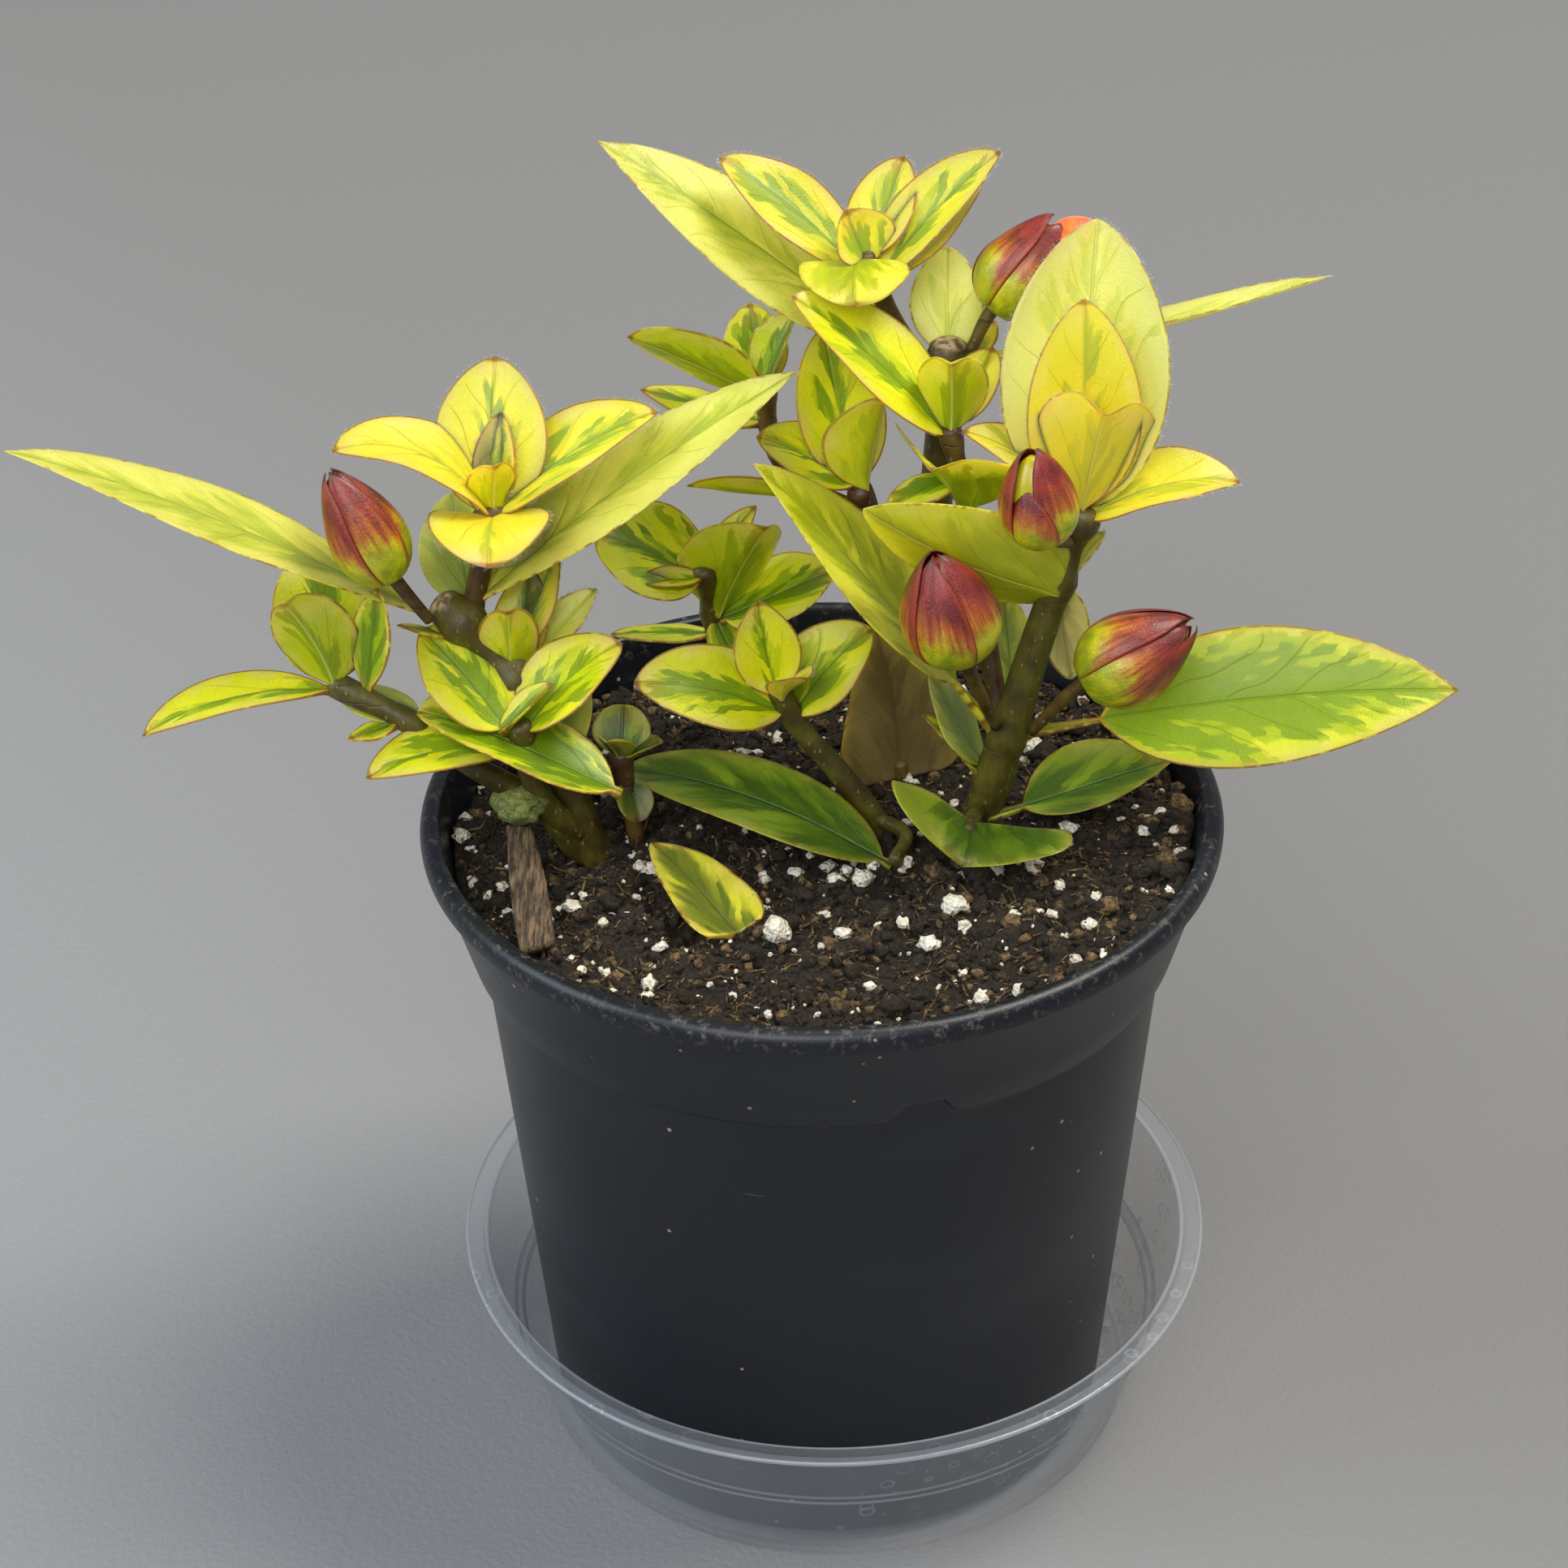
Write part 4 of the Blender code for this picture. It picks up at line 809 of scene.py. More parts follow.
def add_sepal(pile, number, base, axes, size, seed, short):
    """A blade on the envelope: it spreads over an angle that closes as 1 - t^12 does.

    A short one closes as 1 - t^2.6, and its radius grows with the square of t.
    """
    along, side, up = axes
    length, width, opening = size
    chance = np.random.default_rng(seed)
    t = bunched(SEPAL_ROWS)
    s, height, face = flat_section(SEPAL_COLUMNS)
    spread = math.radians(SEPAL_SPREAD) * (1 - t ** (12 if short == 1 else 2.6)) ** 0.8 + 0.02
    envelope = width / 2 * bud_profile(np.clip(t * 0.945 + 0.05, 0, 1))
    keel = 0.07 * np.exp(-((s / 0.3) ** 2)) - 0.05 * abs(s) ** 3
    curl = (0.05 + 2.2 * opening * chance.uniform(0.6, 1.2)) * t**3 + 2.4 * (1 - short) * t**2
    radius = envelope * (1.0 + keel * np.sin(np.pi * t)) + curl
    radius = radius + OVERLAP * s * np.sin(np.pi * t) ** 0.7 + SEPAL_HALF_THICK * height
    theta = 2 * np.pi * number / SEPALS + 0.35 + spread * s
    share = chance.uniform(0.96 - 0.2 * opening, 1.03) * short
    middle = np.array(base) + (0.02 + t[..., None] * share) * length * along
    rings = middle + (radius * np.cos(theta))[..., None] * side + (radius * np.sin(theta))[..., None] * up
    rim = (1 - abs(s)) * (spread * envelope + 0.02)
    pile.add_rings(rings, blade=facts(t * (1 - 0.3 * opening**2), s, face),
                   place=facts(t * length, s * spread * width / 2, rim), seed=float(seed))


def bud_material():
    """Green or yellow at the foot and along the middle, red brown at the edges and tip."""
    sh = Shader("sepal_skin")
    t, s, top = sh.parts(sh.attribute("blade"))
    x, y, rim = sh.parts(sh.attribute("place"))
    seed = sh.attribute("seed", "Fac")
    streak = sh.noise((x * 0.12, y * 1.1, seed * 3.0))
    blotch = sh.noise((x * 0.30, y * 0.30, seed * 3.0 + 5.0))
    fine = sh.noise((x * 2.5, y * 2.5, seed))
    down = sh.noise((x * 5.0, y * 9.0, seed), 1.0, 2.0).step(0.60, 0.74) * t.step(0.3, 0.8)
    side = s.math("ABSOLUTE")
    green = sh.mix(blotch.step(0.3, 0.7), (206, 198, 26), (136, 156, 18))
    amber = sh.mix(streak.step(0.3, 0.7), (196, 116, 26), (166, 76, 28))
    red = sh.mix(blotch.step(0.3, 0.65), (152, 44, 32), (106, 24, 22))
    reach = t * 1.2 + (streak - 0.5) * 0.45 + (blotch - 0.5) * 0.3 + side * side * 0.3
    colour = sh.paint(
        green, (reach.step(0.34, 0.66), amber), (reach.step(0.48, 0.92), red),
        (rim.step(0.9, 0.2) * 0.6, (176, 62, 24)), (rim.step(0.32, 0.1) * 0.8, (84, 24, 18)),
        (t.step(0.90, 1.0) * 0.8, (46, 22, 18)), ((1 - top) * 0.8, (128, 50, 24)),
        (down * 0.22, (214, 140, 120)))
    return sh.finish(
        Base_Color=colour, Roughness=0.26 + blotch * 0.18 + down * 0.2,
        Normal=sh.bump(streak * 0.5 + fine * 0.4 + down * 0.3, 0.0004),
        Coat_Weight=0.3, Coat_Roughness=0.22, Subsurface_Weight=0.3,
        Subsurface_Radius=(1.0, 0.4, 0.1), Subsurface_Scale=0.0008)


def petal_material():
    """Soft orange with a velvety sheen."""
    sh = Shader("orange_petal")
    cloud = sh.noise(sh.place(), 420.0)
    return sh.finish(
        Base_Color=sh.mix(cloud.step(0.3, 0.7), (236, 84, 18), (246, 128, 26)),
        Roughness=0.42 + cloud * 0.15, Normal=sh.bump(cloud, 0.0003), Subsurface_Weight=0.5,
        Subsurface_Radius=(1.0, 0.4, 0.1), Subsurface_Scale=0.0015, Sheen_Weight=0.3)


BUD = bud_material()
PETAL = petal_material()


# %% Make the buds
# Where on a sepal the core takes its colour from; the crown bud's is green inside.
CORE_PLACE, CORE_PLACES = (0.85, 0.9, 1.0), {"crown_bud": (0.36, 0.2, 1.0)}
TUBE_PLACE, TUBE_TILT, TUBE_LENGTH, TUBE_WIDTH = (3.4, 0.0, -2.0), -34, 12.0, 8.8


def egg_rings(centre, axes, length, width, rows=16, columns=20):
    """Rings of an egg: radius width/2 * sin(pi t)^0.7 along its length."""
    along, side, up = axes
    t = np.linspace(0.015, 0.985, rows)
    radius = width / 2 * np.sin(np.pi * t) ** 0.7
    middle = centre + (t[:, None] - 0.5) * length * along
    return middle[:, None] + radius[:, None, None] * circles(columns, side, up)


for number, (name, (foot, base, heading, rise, *size)) in enumerate(BUDS.items()):
    length, width, opening = size
    axes = directions(heading, rise)
    ahead, foot, base = axes[0], np.array(foot), np.array(base)
    slot_name = "petal" if name == "open_bud" else "calyx"
    calyx, stalk = Pile(), Pile()
    for k in range(SEPALS):
        add_sepal(calyx, k, base, axes, size, 20 * number + 3 * k + 1, SHORT_SEPALS.get((name, k), 1.0))
    core_length = (0.95 - 0.25 * opening) * length
    core = egg_rings(base + (0.05 * length + core_length / 2) * ahead, axes, core_length, 0.8 * width)
    inner = np.array(CORE_PLACES.get(name, CORE_PLACE))
    calyx.add_rings(core, blade=inner, place=inner, seed=1.0)
    calyx.make(name + "_calyx", BUD, slot_name, name)
    path = smooth_path([foot, (foot + 2 * base) / 3 + [0, 0, 0.3], base + 0.14 * length * ahead], 8)
    stalk.add_rings(rod_rings(path, np.linspace(0.85, 1.15, len(path)), 12), youth=0.75, cork=0.0)
    stalk.make(name + "_stalk", STEM, slot_name)
    if name == "open_bud":
        tube = Pile()
        tip = base + 0.86 * length * ahead + TUBE_PLACE
        tilted = directions(heading, rise + TUBE_TILT)
        tube.add_rings(egg_rings(tip, tilted, TUBE_LENGTH, TUBE_WIDTH, 22, 28))
        tube.make("corolla", PETAL, "petal")

# %% [markdown]
# ## The pot and the saucer
# Both are turned shapes, so one outline of radii and heights is carried round the
# axis in 240 steps, as a Screw modifier would. Doing it here lets a formula move
# points on the way: the foot of the pot's collar is raised over a few degrees, where
# a plant label is clipped in. The corners are rounded by cutting each one off twice.

# %% Turned shapes
SEGMENTS = 240
SHARP_ABOVE = math.radians(50)
MERGE_WITHIN = 2e-6


def rounded(outline, cut, rounds=2):
    """Cuts each corner off, at most `cut` from it or a third of the way along its sides."""
    points = np.array(outline, float)
    for k in range(rounds):
        ends = []
        for step in (1, -1):
            side = np.roll(points, step, axis=0) - points
            length = np.maximum(np.linalg.norm(side, axis=1), 1e-9)[:, None]
            ends.append(points + np.minimum(cut / 2**k / length, 0.33) * side)
        pairs = np.stack(ends, axis=1)
        on_axis = points[:, 0] < 0.05
        pairs[on_axis] = points[on_axis][:, None]
        points = pairs.reshape(-1, 2)
    return points


def turned(name, outline, material, slot, node, centre_x=0.0, shift=None):
    """Carries a closed outline round the axis; shift(radius, height, angle) may move a point."""
    angle = 2 * np.pi * np.arange(SEGMENTS) / SEGMENTS
    r, z = (np.repeat(column[:, None], SEGMENTS, axis=1) for column in outline.T)
    if shift:
        r, z = shift(r, z, angle)
    points = np.stack([r * np.cos(angle) + centre_x, r * np.sin(angle), z], axis=-1)
    rows = len(outline)
    i, j = np.meshgrid(np.arange(rows), np.arange(SEGMENTS), indexing="ij")
    k, m = (i + 1) % rows, (j + 1) % SEGMENTS
    quads = np.stack([i * SEGMENTS + j, k * SEGMENTS + j, k * SEGMENTS + m, i * SEGMENTS + m], axis=-1)
    mesh = new_mesh(name, points, quads.reshape(-1, 4).tolist())
    bm = bmesh.new()
    bm.from_mesh(mesh)
    bmesh.ops.remove_doubles(bm, verts=bm.verts, dist=MERGE_WITHIN)
    bmesh.ops.recalc_face_normals(bm, faces=bm.faces)
    bm.to_mesh(mesh)
    bm.free()
    piece = new_piece(name, mesh, material, slot, node)
    mesh.set_sharp_from_angle(angle=SHARP_ABOVE)
    return piece


# %% [markdown]
# The pot is charcoal plastic with a fine matt grain. Dust settles on the lip and in
# its corners, a few pale specks cling to the wall, and thin scratches run round it.


# %% Pot material
def pot_material():
    """Near-black blue grey under smudges, dust, scratches and specks."""
    sh = Shader("charcoal_plastic")
    place = sh.place()
    height = sh.parts(place)[2]
    grain = sh.noise(place, 2600.0, 2.0)
    cloud = sh.noise(place, 38.0, 4.0)
    specks = sh.cells(place, 260.0).step(0.11, 0.06) * sh.noise(place, 90.0, 2.0).step(0.52, 0.62)
    scratches = sh.noise(sh.stretched(place, 60.0, 60.0, 1800.0), 1.0, 3.0, 0.6, 0.4).step(0.70, 0.76)
    scratches = scratches * sh.noise(place, 55.0, 2.0).step(0.55, 0.7)
    dust = sh.noise(place, 700.0, 4.0, 0.7).step(0.52, 0.72)
    dusty = height.step(0.1040, 0.1080) * dust * (0.3 + cloud)
    smudge = sh.noise(sh.stretched(place, 18.0, 18.0, 60.0)).step(0.52, 0.75)
    colour = sh.paint(
        sh.mix(cloud, (5, 9, 16), (9, 14, 23)), (smudge * 0.18, (44, 49, 58)),
        (dusty * 0.55, (124, 118, 106)), (scratches * 0.32, (120, 122, 126)),
        (specks * 0.85, (168, 158, 138)))
    return sh.finish(
        Base_Color=colour, Roughness=0.30 + cloud * 0.16 + dusty * 0.3,
        Normal=sh.bump(grain * 0.5 + specks, 0.00006))


# %% Pot
POT_BASE_Z, POT_FLOOR_Z, POT_TOP_Z, POT_WALL = 1.5, 3.1, 109.3, 1.3
LIP_RADIUS, LIP_FOOT_Z, MOUTH_RADIUS = 60.0, 105.7, 57.0
COLLAR_TOP_RADIUS, COLLAR_FOOT_RADIUS, COLLAR_FOOT_Z = 58.5, 53.7, 88.5
BODY_TOP_RADIUS, BODY_FOOT_RADIUS = 51.9, 44.6
NOTCH_ANGLE, NOTCH_WIDTH, NOTCH_HEIGHT, NOTCH_RAMP = -75.0, 8.2, 3.4, 0.8


def pot_inner_radius(z):
    """The inside of the wall: a straight cone, then a flare behind the collar."""
    cone_top = BODY_TOP_RADIUS - POT_WALL + 0.3
    heights = (POT_FLOOR_Z, COLLAR_FOOT_Z + 4.5, COLLAR_FOOT_Z + 8.0, POT_TOP_Z)
    return np.interp(z, heights, (BODY_FOOT_RADIUS - POT_WALL, cone_top, cone_top + 3.1, MOUTH_RADIUS))


def notch_shift(r, z, angle):
    """Lifts the foot of the collar over the width of the label notch, with short ramps."""
    off = (angle - math.radians(NOTCH_ANGLE) + np.pi) % (2 * np.pi) - np.pi
    reach = (NOTCH_WIDTH + NOTCH_RAMP) / 2 - abs(off) * COLLAR_FOOT_RADIUS
    rise = np.clip(reach / NOTCH_RAMP, 0, 1) * NOTCH_HEIGHT
    foot = (abs(z - COLLAR_FOOT_Z) < 1.3) & (r > BODY_TOP_RADIUS - 0.3)
    outer = foot & (r > COLLAR_FOOT_RADIUS - 0.9)
    taper = (COLLAR_TOP_RADIUS - COLLAR_FOOT_RADIUS) / (LIP_FOOT_Z - COLLAR_FOOT_Z)
    return r + outer * rise * taper, z + foot * rise


def between(start, end, share):
    """The point at this share of the way from start to end."""
    return (np.array(start) * (1 - share) + np.array(end) * share).tolist()


body_foot, body_top = (BODY_FOOT_RADIUS, POT_BASE_Z + 2.2), (BODY_TOP_RADIUS, COLLAR_FOOT_Z - 0.6)
collar_foot, collar_top = (COLLAR_FOOT_RADIUS, COLLAR_FOOT_Z), (COLLAR_TOP_RADIUS, LIP_FOOT_Z)
pot_outline = rounded([
    (0, POT_BASE_Z), (BODY_FOOT_RADIUS - 2.0, POT_BASE_Z), (BODY_FOOT_RADIUS - 0.4, POT_BASE_Z + 0.6),
    body_foot, between(body_foot, body_top, 0.97), body_top,
    collar_foot, between(collar_foot, collar_top, 0.32), collar_top,
    (LIP_RADIUS - 0.2, LIP_FOOT_Z), (LIP_RADIUS, LIP_FOOT_Z + 0.8), (LIP_RADIUS, POT_TOP_Z - 1.4),
    (LIP_RADIUS - 1.0, POT_TOP_Z), (MOUTH_RADIUS + 0.4, POT_TOP_Z), (MOUTH_RADIUS - 0.1, POT_TOP_Z - 0.8),
    *((pot_inner_radius(z), z) for z in (96.5, 93.0, POT_FLOOR_Z)), (0, POT_FLOOR_Z)], 0.45)
pot = turned("pot_shell", pot_outline, pot_material(), "charcoal_plastic", "pot", 0.0, notch_shift)

# %% Drain holes
DRAIN_HOLES, DRAIN_RADIUS, DRAIN_CIRCLE, DRILL_ENDS_Z = 6, 4.0, 27.0, (-1.0, 6.0)
drills = Pile()
disc = DRAIN_RADIUS * circles(32, *np.eye(3)[:2])
for x, y in zip(*around(DRAIN_HOLES, 0.5)):
    ends = np.array([[DRAIN_CIRCLE * x, DRAIN_CIRCLE * y, z] for z in DRILL_ENDS_Z])
    drills.add_rings(ends[:, None] + disc)
drill = new_object("drills", drills.mesh("drills"))
boring = pot.modifiers.new("drain", "BOOLEAN")
boring.operation, boring.object, boring.solver = "DIFFERENCE", drill, "EXACT"
bored = bpy.data.meshes.new_from_object(pot.evaluated_get(bpy.context.evaluated_depsgraph_get()))
pot.modifiers.clear()
pot.data = bored
bpy.data.objects.remove(drill, do_unlink=True)
print("pot_shell with drain holes:", len(bored.polygons), "faces")


# %% [markdown]
# The saucer is clear thermoformed plastic, thin and hard, with small water marks.
# Such plastic shows by its edges, where the wall is seen edge on and catches the
# light. Here the thin bright bands along both edges of the flange and along the step
# are painted highlights, a pale cover at fixed radii and heights. A glass shader would
# bend the view of all that is behind so thin a wall, so this one is a surface that
# mostly lets light through and covers more where it is edge on.

# %% Saucer
SAUCER_X, SAUCER_FLOOR, FLANGE_TOP_Z = 1.2, 1.2, 30.4


def saucer_material():
    """A cover of a few percent, more at grazing angles, on marks, and as painted highlights at the flange's
    edges and the step.
    """
    sh = Shader("clear_plastic")
    place = sh.place()
    haze = sh.noise(place, 90.0, 4.0)
    spread = sh.noise(place, 30.0, 1.0)
    marks = sh.cells(place, 95.0).step(0.16, 0.10) * spread.step(0.55, 0.7)
    rings = sh.cells(place, 210.0)
    drops = rings.step(0.30, 0.24) * rings.step(0.18, 0.24) * spread.step(0.5, 0.6)
    scuffs = sh.noise(sh.stretched(place, 40.0, 40.0, 1500.0)).step(0.66, 0.72) * haze.step(0.5, 0.65)
    ripple = sh.noise(place, 55.0, 2.0)
    graze = sh.grazing()
    x, y, height = sh.parts(place)
    radius = ((x - SAUCER_X * MM).math("POWER", 2.0) + y * y).math("SQRT")
    # Painted highlights: more cover at both edges of the flange and along the step, so they show as thin
    # bright bands.
    flange = radius.step(0.0587, 0.0590) + radius.step(0.0563, 0.0560) * radius.step(0.0553, 0.0556)
    ledge = height.step(0.0147, 0.0150) * height.step(0.0161, 0.0158)
    painted_highlights = flange * height.step(0.0290, 0.0294) + ledge
    cover = 0.035 + haze * 0.07 + graze * graze * 0.36 + painted_highlights * 0.42 + (marks + drops + scuffs) * 0.28
    return sh.finish(
        Base_Color=sh.mix(marks * 0.5, (176, 181, 188), (206, 200, 188)),
        Roughness=0.10 + haze * 0.12 + marks * 0.3, Normal=sh.bump(ripple, 0.0006, 0.5),
        Alpha=cover, IOR=1.5, Specular_IOR_Level=1.0)


saucer_outline = rounded([
    (0, 0), (46.7, 0), (47.9, 1.2), (51.5, 14.7), (52.1, 15.5), (56.4, 29.2), (59.2, 29.5),
    (59.2, FLANGE_TOP_Z), (55.5, FLANGE_TOP_Z), (51.2, 16.1), (50.6, 15.2), (47.2, 2.2),
    (46.2, SAUCER_FLOOR), (0, SAUCER_FLOOR)], 0.3)
turned("saucer_shell", saucer_outline, saucer_material(), "clear_plastic", "saucer", SAUCER_X)

# %% [markdown]
# ## The soil
# Potting soil is a dark bed of peat crumbs with white perlite, pale fibres and short
# splinters of wood. The bed is one surface with a rough relief. Crumbs, grains and
# splinters are small balls, stretched and copied thousands of times as whole arrays,
# each with its own size, turn and shade. The fibres are thin rods that lie on it. A
# particle system could scatter them, but arrays are quicker and stay the same.

# %% Relief of the bed
SOIL_LEVEL, SOIL_RISE, SOIL_MOUND, SOIL_PLAY = 103.7, 2.0, 0.75, 0.3
BED_RADIUS, BED_FOOT_RADIUS, BED_FOOT_Z = 55.1, 49.5, 90.0
SCATTER_RADIUS, FIBRE_RADIUS = 54.8, 54.5
# Each field's size from bump to bump, and its height.
ROUGHNESS = ((7.0, 0.9), (3.6, 1.3), (1.9, 1.4), (0.9, 0.8))


def random_field(x, y, size, seed):
    """Smooth random heights from 0 to 1, with one value for each cell of this size."""
    table = np.random.default_rng(seed).random((64, 64))
    u, v = x / size, y / size
    i, j = np.floor(u).astype(int), np.floor(v).astype(int)
    a, b = u - i, v - j
    a, b = a * a * (3 - 2 * a), b * b * (3 - 2 * b)

    def at(p, q):
        return table[p % 64, q % 64]

    low = at(i, j) * (1 - a) + at(i + 1, j) * a
    high = at(i, j + 1) * (1 - a) + at(i + 1, j + 1) * a
    return low * (1 - b) + high * b


def soil_height(x, y):
    """A gentle slope up to the front right, low mounds, and rougher and rougher fields."""
    slope = SOIL_RISE * (0.5 * x - 0.85 * y) / MOUTH_RADIUS
    mounds = np.sin(0.35 * x + 1.1) * np.cos(0.33 * y - 0.4) + 0.6 * np.sin(0.30 * x - 0.38 * y)
    rough = sum(height * (random_field(x, y, size, k) - 0.5) for k, (size, height) in enumerate(ROUGHNESS))
    return SOIL_LEVEL + slope + SOIL_MOUND * mounds + rough


def soil_bed(rows=120, columns=420):
    """Rings from the middle out to the wall, then down beside it."""
    cosines, sines = around(columns)
    r = np.linspace(0.2, BED_RADIUS, rows)[:, None]
    z = soil_height(r * cosines, r * sines)
    wall = np.minimum(pot_inner_radius(z[-1]) - SOIL_PLAY, 56.0)
    r = np.concatenate([np.broadcast_to(r, z.shape), [wall], np.full((1, columns), BED_FOOT_RADIUS)])
    z = np.concatenate([z, [z[-1] - 0.8], np.full((1, columns), BED_FOOT_Z)])
    return np.stack([r * cosines, r * sines, z], axis=-1)


# %% Small shapes, copied as whole arrays
def round_shape(detail):
    """Points and triangles of a small ball of radius 1."""
    bm = bmesh.new()
    bmesh.ops.create_icosphere(bm, subdivisions=detail, radius=1.0)
    bm.verts.ensure_lookup_table()
    points = np.array([v.co[:] for v in bm.verts])
    faces = np.array([[v.index for v in f.verts] for f in bm.faces])
    bm.free()
    return points, faces


def random_turns(count):
    """Rotation matrices from random unit quaternions."""
    w, x, y, z = unit(rng.normal(size=(count, 4))).T
    rows = [[1 - 2 * (y * y + z * z), 2 * (x * y - z * w), 2 * (x * z + y * w)],
            [2 * (x * y + z * w), 1 - 2 * (x * x + z * z), 2 * (y * z - x * w)],
            [2 * (x * z - y * w), 2 * (y * z + x * w), 1 - 2 * (x * x + y * y)]]
    return np.moveaxis(np.array(rows), -1, 0)


def scatter(pile, centres, sizes, detail, lumps, flat, shades, form=(1, 1, 1)):
    """Copies of a ball with random lumps, stretched, turned and put at these places."""
    points, faces = round_shape(detail)
    count = len(centres)
    bumpy = 1 + lumps * rng.uniform(-1, 1, (count, len(points)))
    stretch = rng.uniform(0.65, 1.25, (count, 1, 3)) * sizes[:, None, None] / 2 * np.array(form)
    cloud = points * bumpy[..., None] * stretch
    cloud = np.einsum("nij,npj->npi", random_turns(count), cloud)
    cloud[..., 2] *= flat
    every = faces + len(points) * np.arange(count)[:, None, None]
    pile.add(cloud + centres[:, None], every.reshape(-1, 3).tolist(), shade=np.repeat(shades, len(points)))


def places(sizes, sink):
    """Random places on the bed, one for each size, raised by this share of it."""
    r = SCATTER_RADIUS * np.sqrt(rng.random(len(sizes)))
    a = 2 * np.pi * rng.random(len(sizes))
    x, y = r * np.cos(a), r * np.sin(a)
    return np.stack([x, y, soil_height(x, y) + sink * sizes], axis=-1)


# %% Soil materials
def soil_material():
    """Dark and light browns; each point's own shade and noise say how light it is."""
    sh = Shader("peat")
    place = sh.place()
    fine = sh.noise(place, 1500.0, 4.0, 0.7)
    broad = sh.noise(place, 130.0)
    dark = sh.mix(fine.step(0.35, 0.7), (13, 10, 5), (58, 43, 23))
    light = sh.mix(fine.step(0.35, 0.7), (86, 64, 36), (160, 130, 82))
    share = sh.attribute("shade", "Fac") * 0.8 + (broad - 0.5) * 0.9 + (fine - 0.5) * 0.6
    colour = sh.mix(share.step(0.3, 0.9), dark, light)
    return sh.finish(Base_Color=colour, Roughness=0.85 + fine * 0.1, Normal=sh.bump(fine, 0.0009))


def perlite_material():
    """Off-white with pits and brown stains."""
    sh = Shader("perlite")
    place = sh.place()
    pits = sh.cells(place, 1500.0)
    dirt = sh.noise(place, 480.0, 4.0, 0.6)
    colour = sh.mix(dirt.step(0.52, 0.78), (236, 230, 210), (160, 136, 102))
    colour = sh.mix(sh.attribute("shade", "Fac") * 0.35, colour, (196, 178, 150))
    return sh.finish(Base_Color=colour, Roughness=0.8 + dirt * 0.1, Normal=sh.bump(pits + dirt, 0.0006))


PEAT = soil_material()
GRAIN = perlite_material()

# %% Bed and crumbs
soil = Pile()
soil.add_rings(soil_bed(), shade=0.12)
soil.make("potting_soil", PEAT, "soil", "soil")
crumbs = Pile()
for count, low, high, detail in ((4200, 0.4, 1.2, 1), (1500, 1.0, 2.4, 1), (150, 2.2, 3.6, 2)):
    sizes = rng.uniform(low, high, count)
    scatter(crumbs, places(sizes, 0.16), sizes, detail, 0.42, 0.8, rng.random(count) ** 1.8)
crumbs.make("peat_crumbs", PEAT, "soil")

# %% Perlite grains
# x, y and size of the large grains; the small ones fall at random.
LARGE_GRAINS = np.array([
    (-31, 30, 5.2), (46, 10, 3.6), (-24.5, -12, 3.0), (-36.5, -21, 2.4), (-40.5, -24, 2.2),
    (-6.5, -30, 3.4), (19, -24, 3.2), (24.5, -14, 3.4), (31, -12.5, 2.8), (6, -16, 3.0),
    (2, -16.5, 2.6), (15, -33, 2.6), (3, -29, 2.2), (-9, -22.5, 2.2), (12.5, -12, 2.4),
    (37, -3, 2.4), (40, 4, 2.2), (-46, -10, 2.0), (33, 20, 3.0), (-2, 43, 3.2),
])
PERLITE_LUMPS = 0.34
perlite = Pile()
x, y, sizes = LARGE_GRAINS.T
spots = np.stack([x, y, soil_height(x, y) + 0.3 * sizes], axis=-1)
scatter(perlite, spots, sizes * 1.2, 2, PERLITE_LUMPS, 0.75, rng.random(len(sizes)) * 0.5)
for count, low, high, detail in ((190, 1.0, 2.4, 2), (360, 0.4, 1.0, 1)):
    sizes = rng.uniform(low, high, count)
    scatter(perlite, places(sizes, 0.15), sizes, detail, PERLITE_LUMPS, 0.8, rng.random(count))
perlite.make("perlite_grains", GRAIN, "soil")

# %% Fibres and splinters
fibres = Pile()
run = np.linspace(0, 1, 7)
for k in range(300):
    length = rng.uniform(1.5, 7.0)
    start = places(np.ones(1), 0.0)[0]
    turn = rng.uniform(0, 2 * np.pi) + rng.uniform(-1.2, 1.2) * run
    steps = np.stack([np.cos(turn), np.sin(turn)], axis=-1) * length / len(run)
    x, y = (start[:2] + np.cumsum(steps, axis=0)).T
    if np.hypot(x, y).max() < FIBRE_RADIUS:
        z = soil_height(x, y) + 0.25 + 0.5 * np.sin(np.pi * run) * rng.random()
        rod = rod_rings(np.stack([x, y, z], axis=1), np.linspace(0.16, 0.07, len(run)), 5)
        fibres.add_rings(rod, shade=rng.uniform(0.4, 1.2))
for count, low, high, slim in ((3400, 0.7, 2.4, 0.20), (900, 1.8, 4.2, 0.12)):
    sizes = rng.uniform(low, high, count)
    scatter(fibres, places(sizes, 0.12), sizes, 1, 0.25, 0.6, 0.25 + rng.random(count), (1, slim, slim))
fibres.make("peat_fibres", PEAT, "soil")

# %% [markdown]
# ## Bark and callus
# An old stem end lies over the soil at the front left. It is a flat strip of wood
# with long grain, and it meets a pad of green callus on the living stem. The strip
# is one more loft, so its grain can be real relief; the pad is a ball whose radius
# follows a random field, since nothing about it is regular.

# %% Bark strip
BARK_ENDS = np.array([(-40.6, -33.5, 104.9), (-44.2, -11.6, 110.9)])
BARK_HALF_WIDTH, BARK_HALF_THICK, BARK_GRAIN = 2.4, 0.9, 0.16


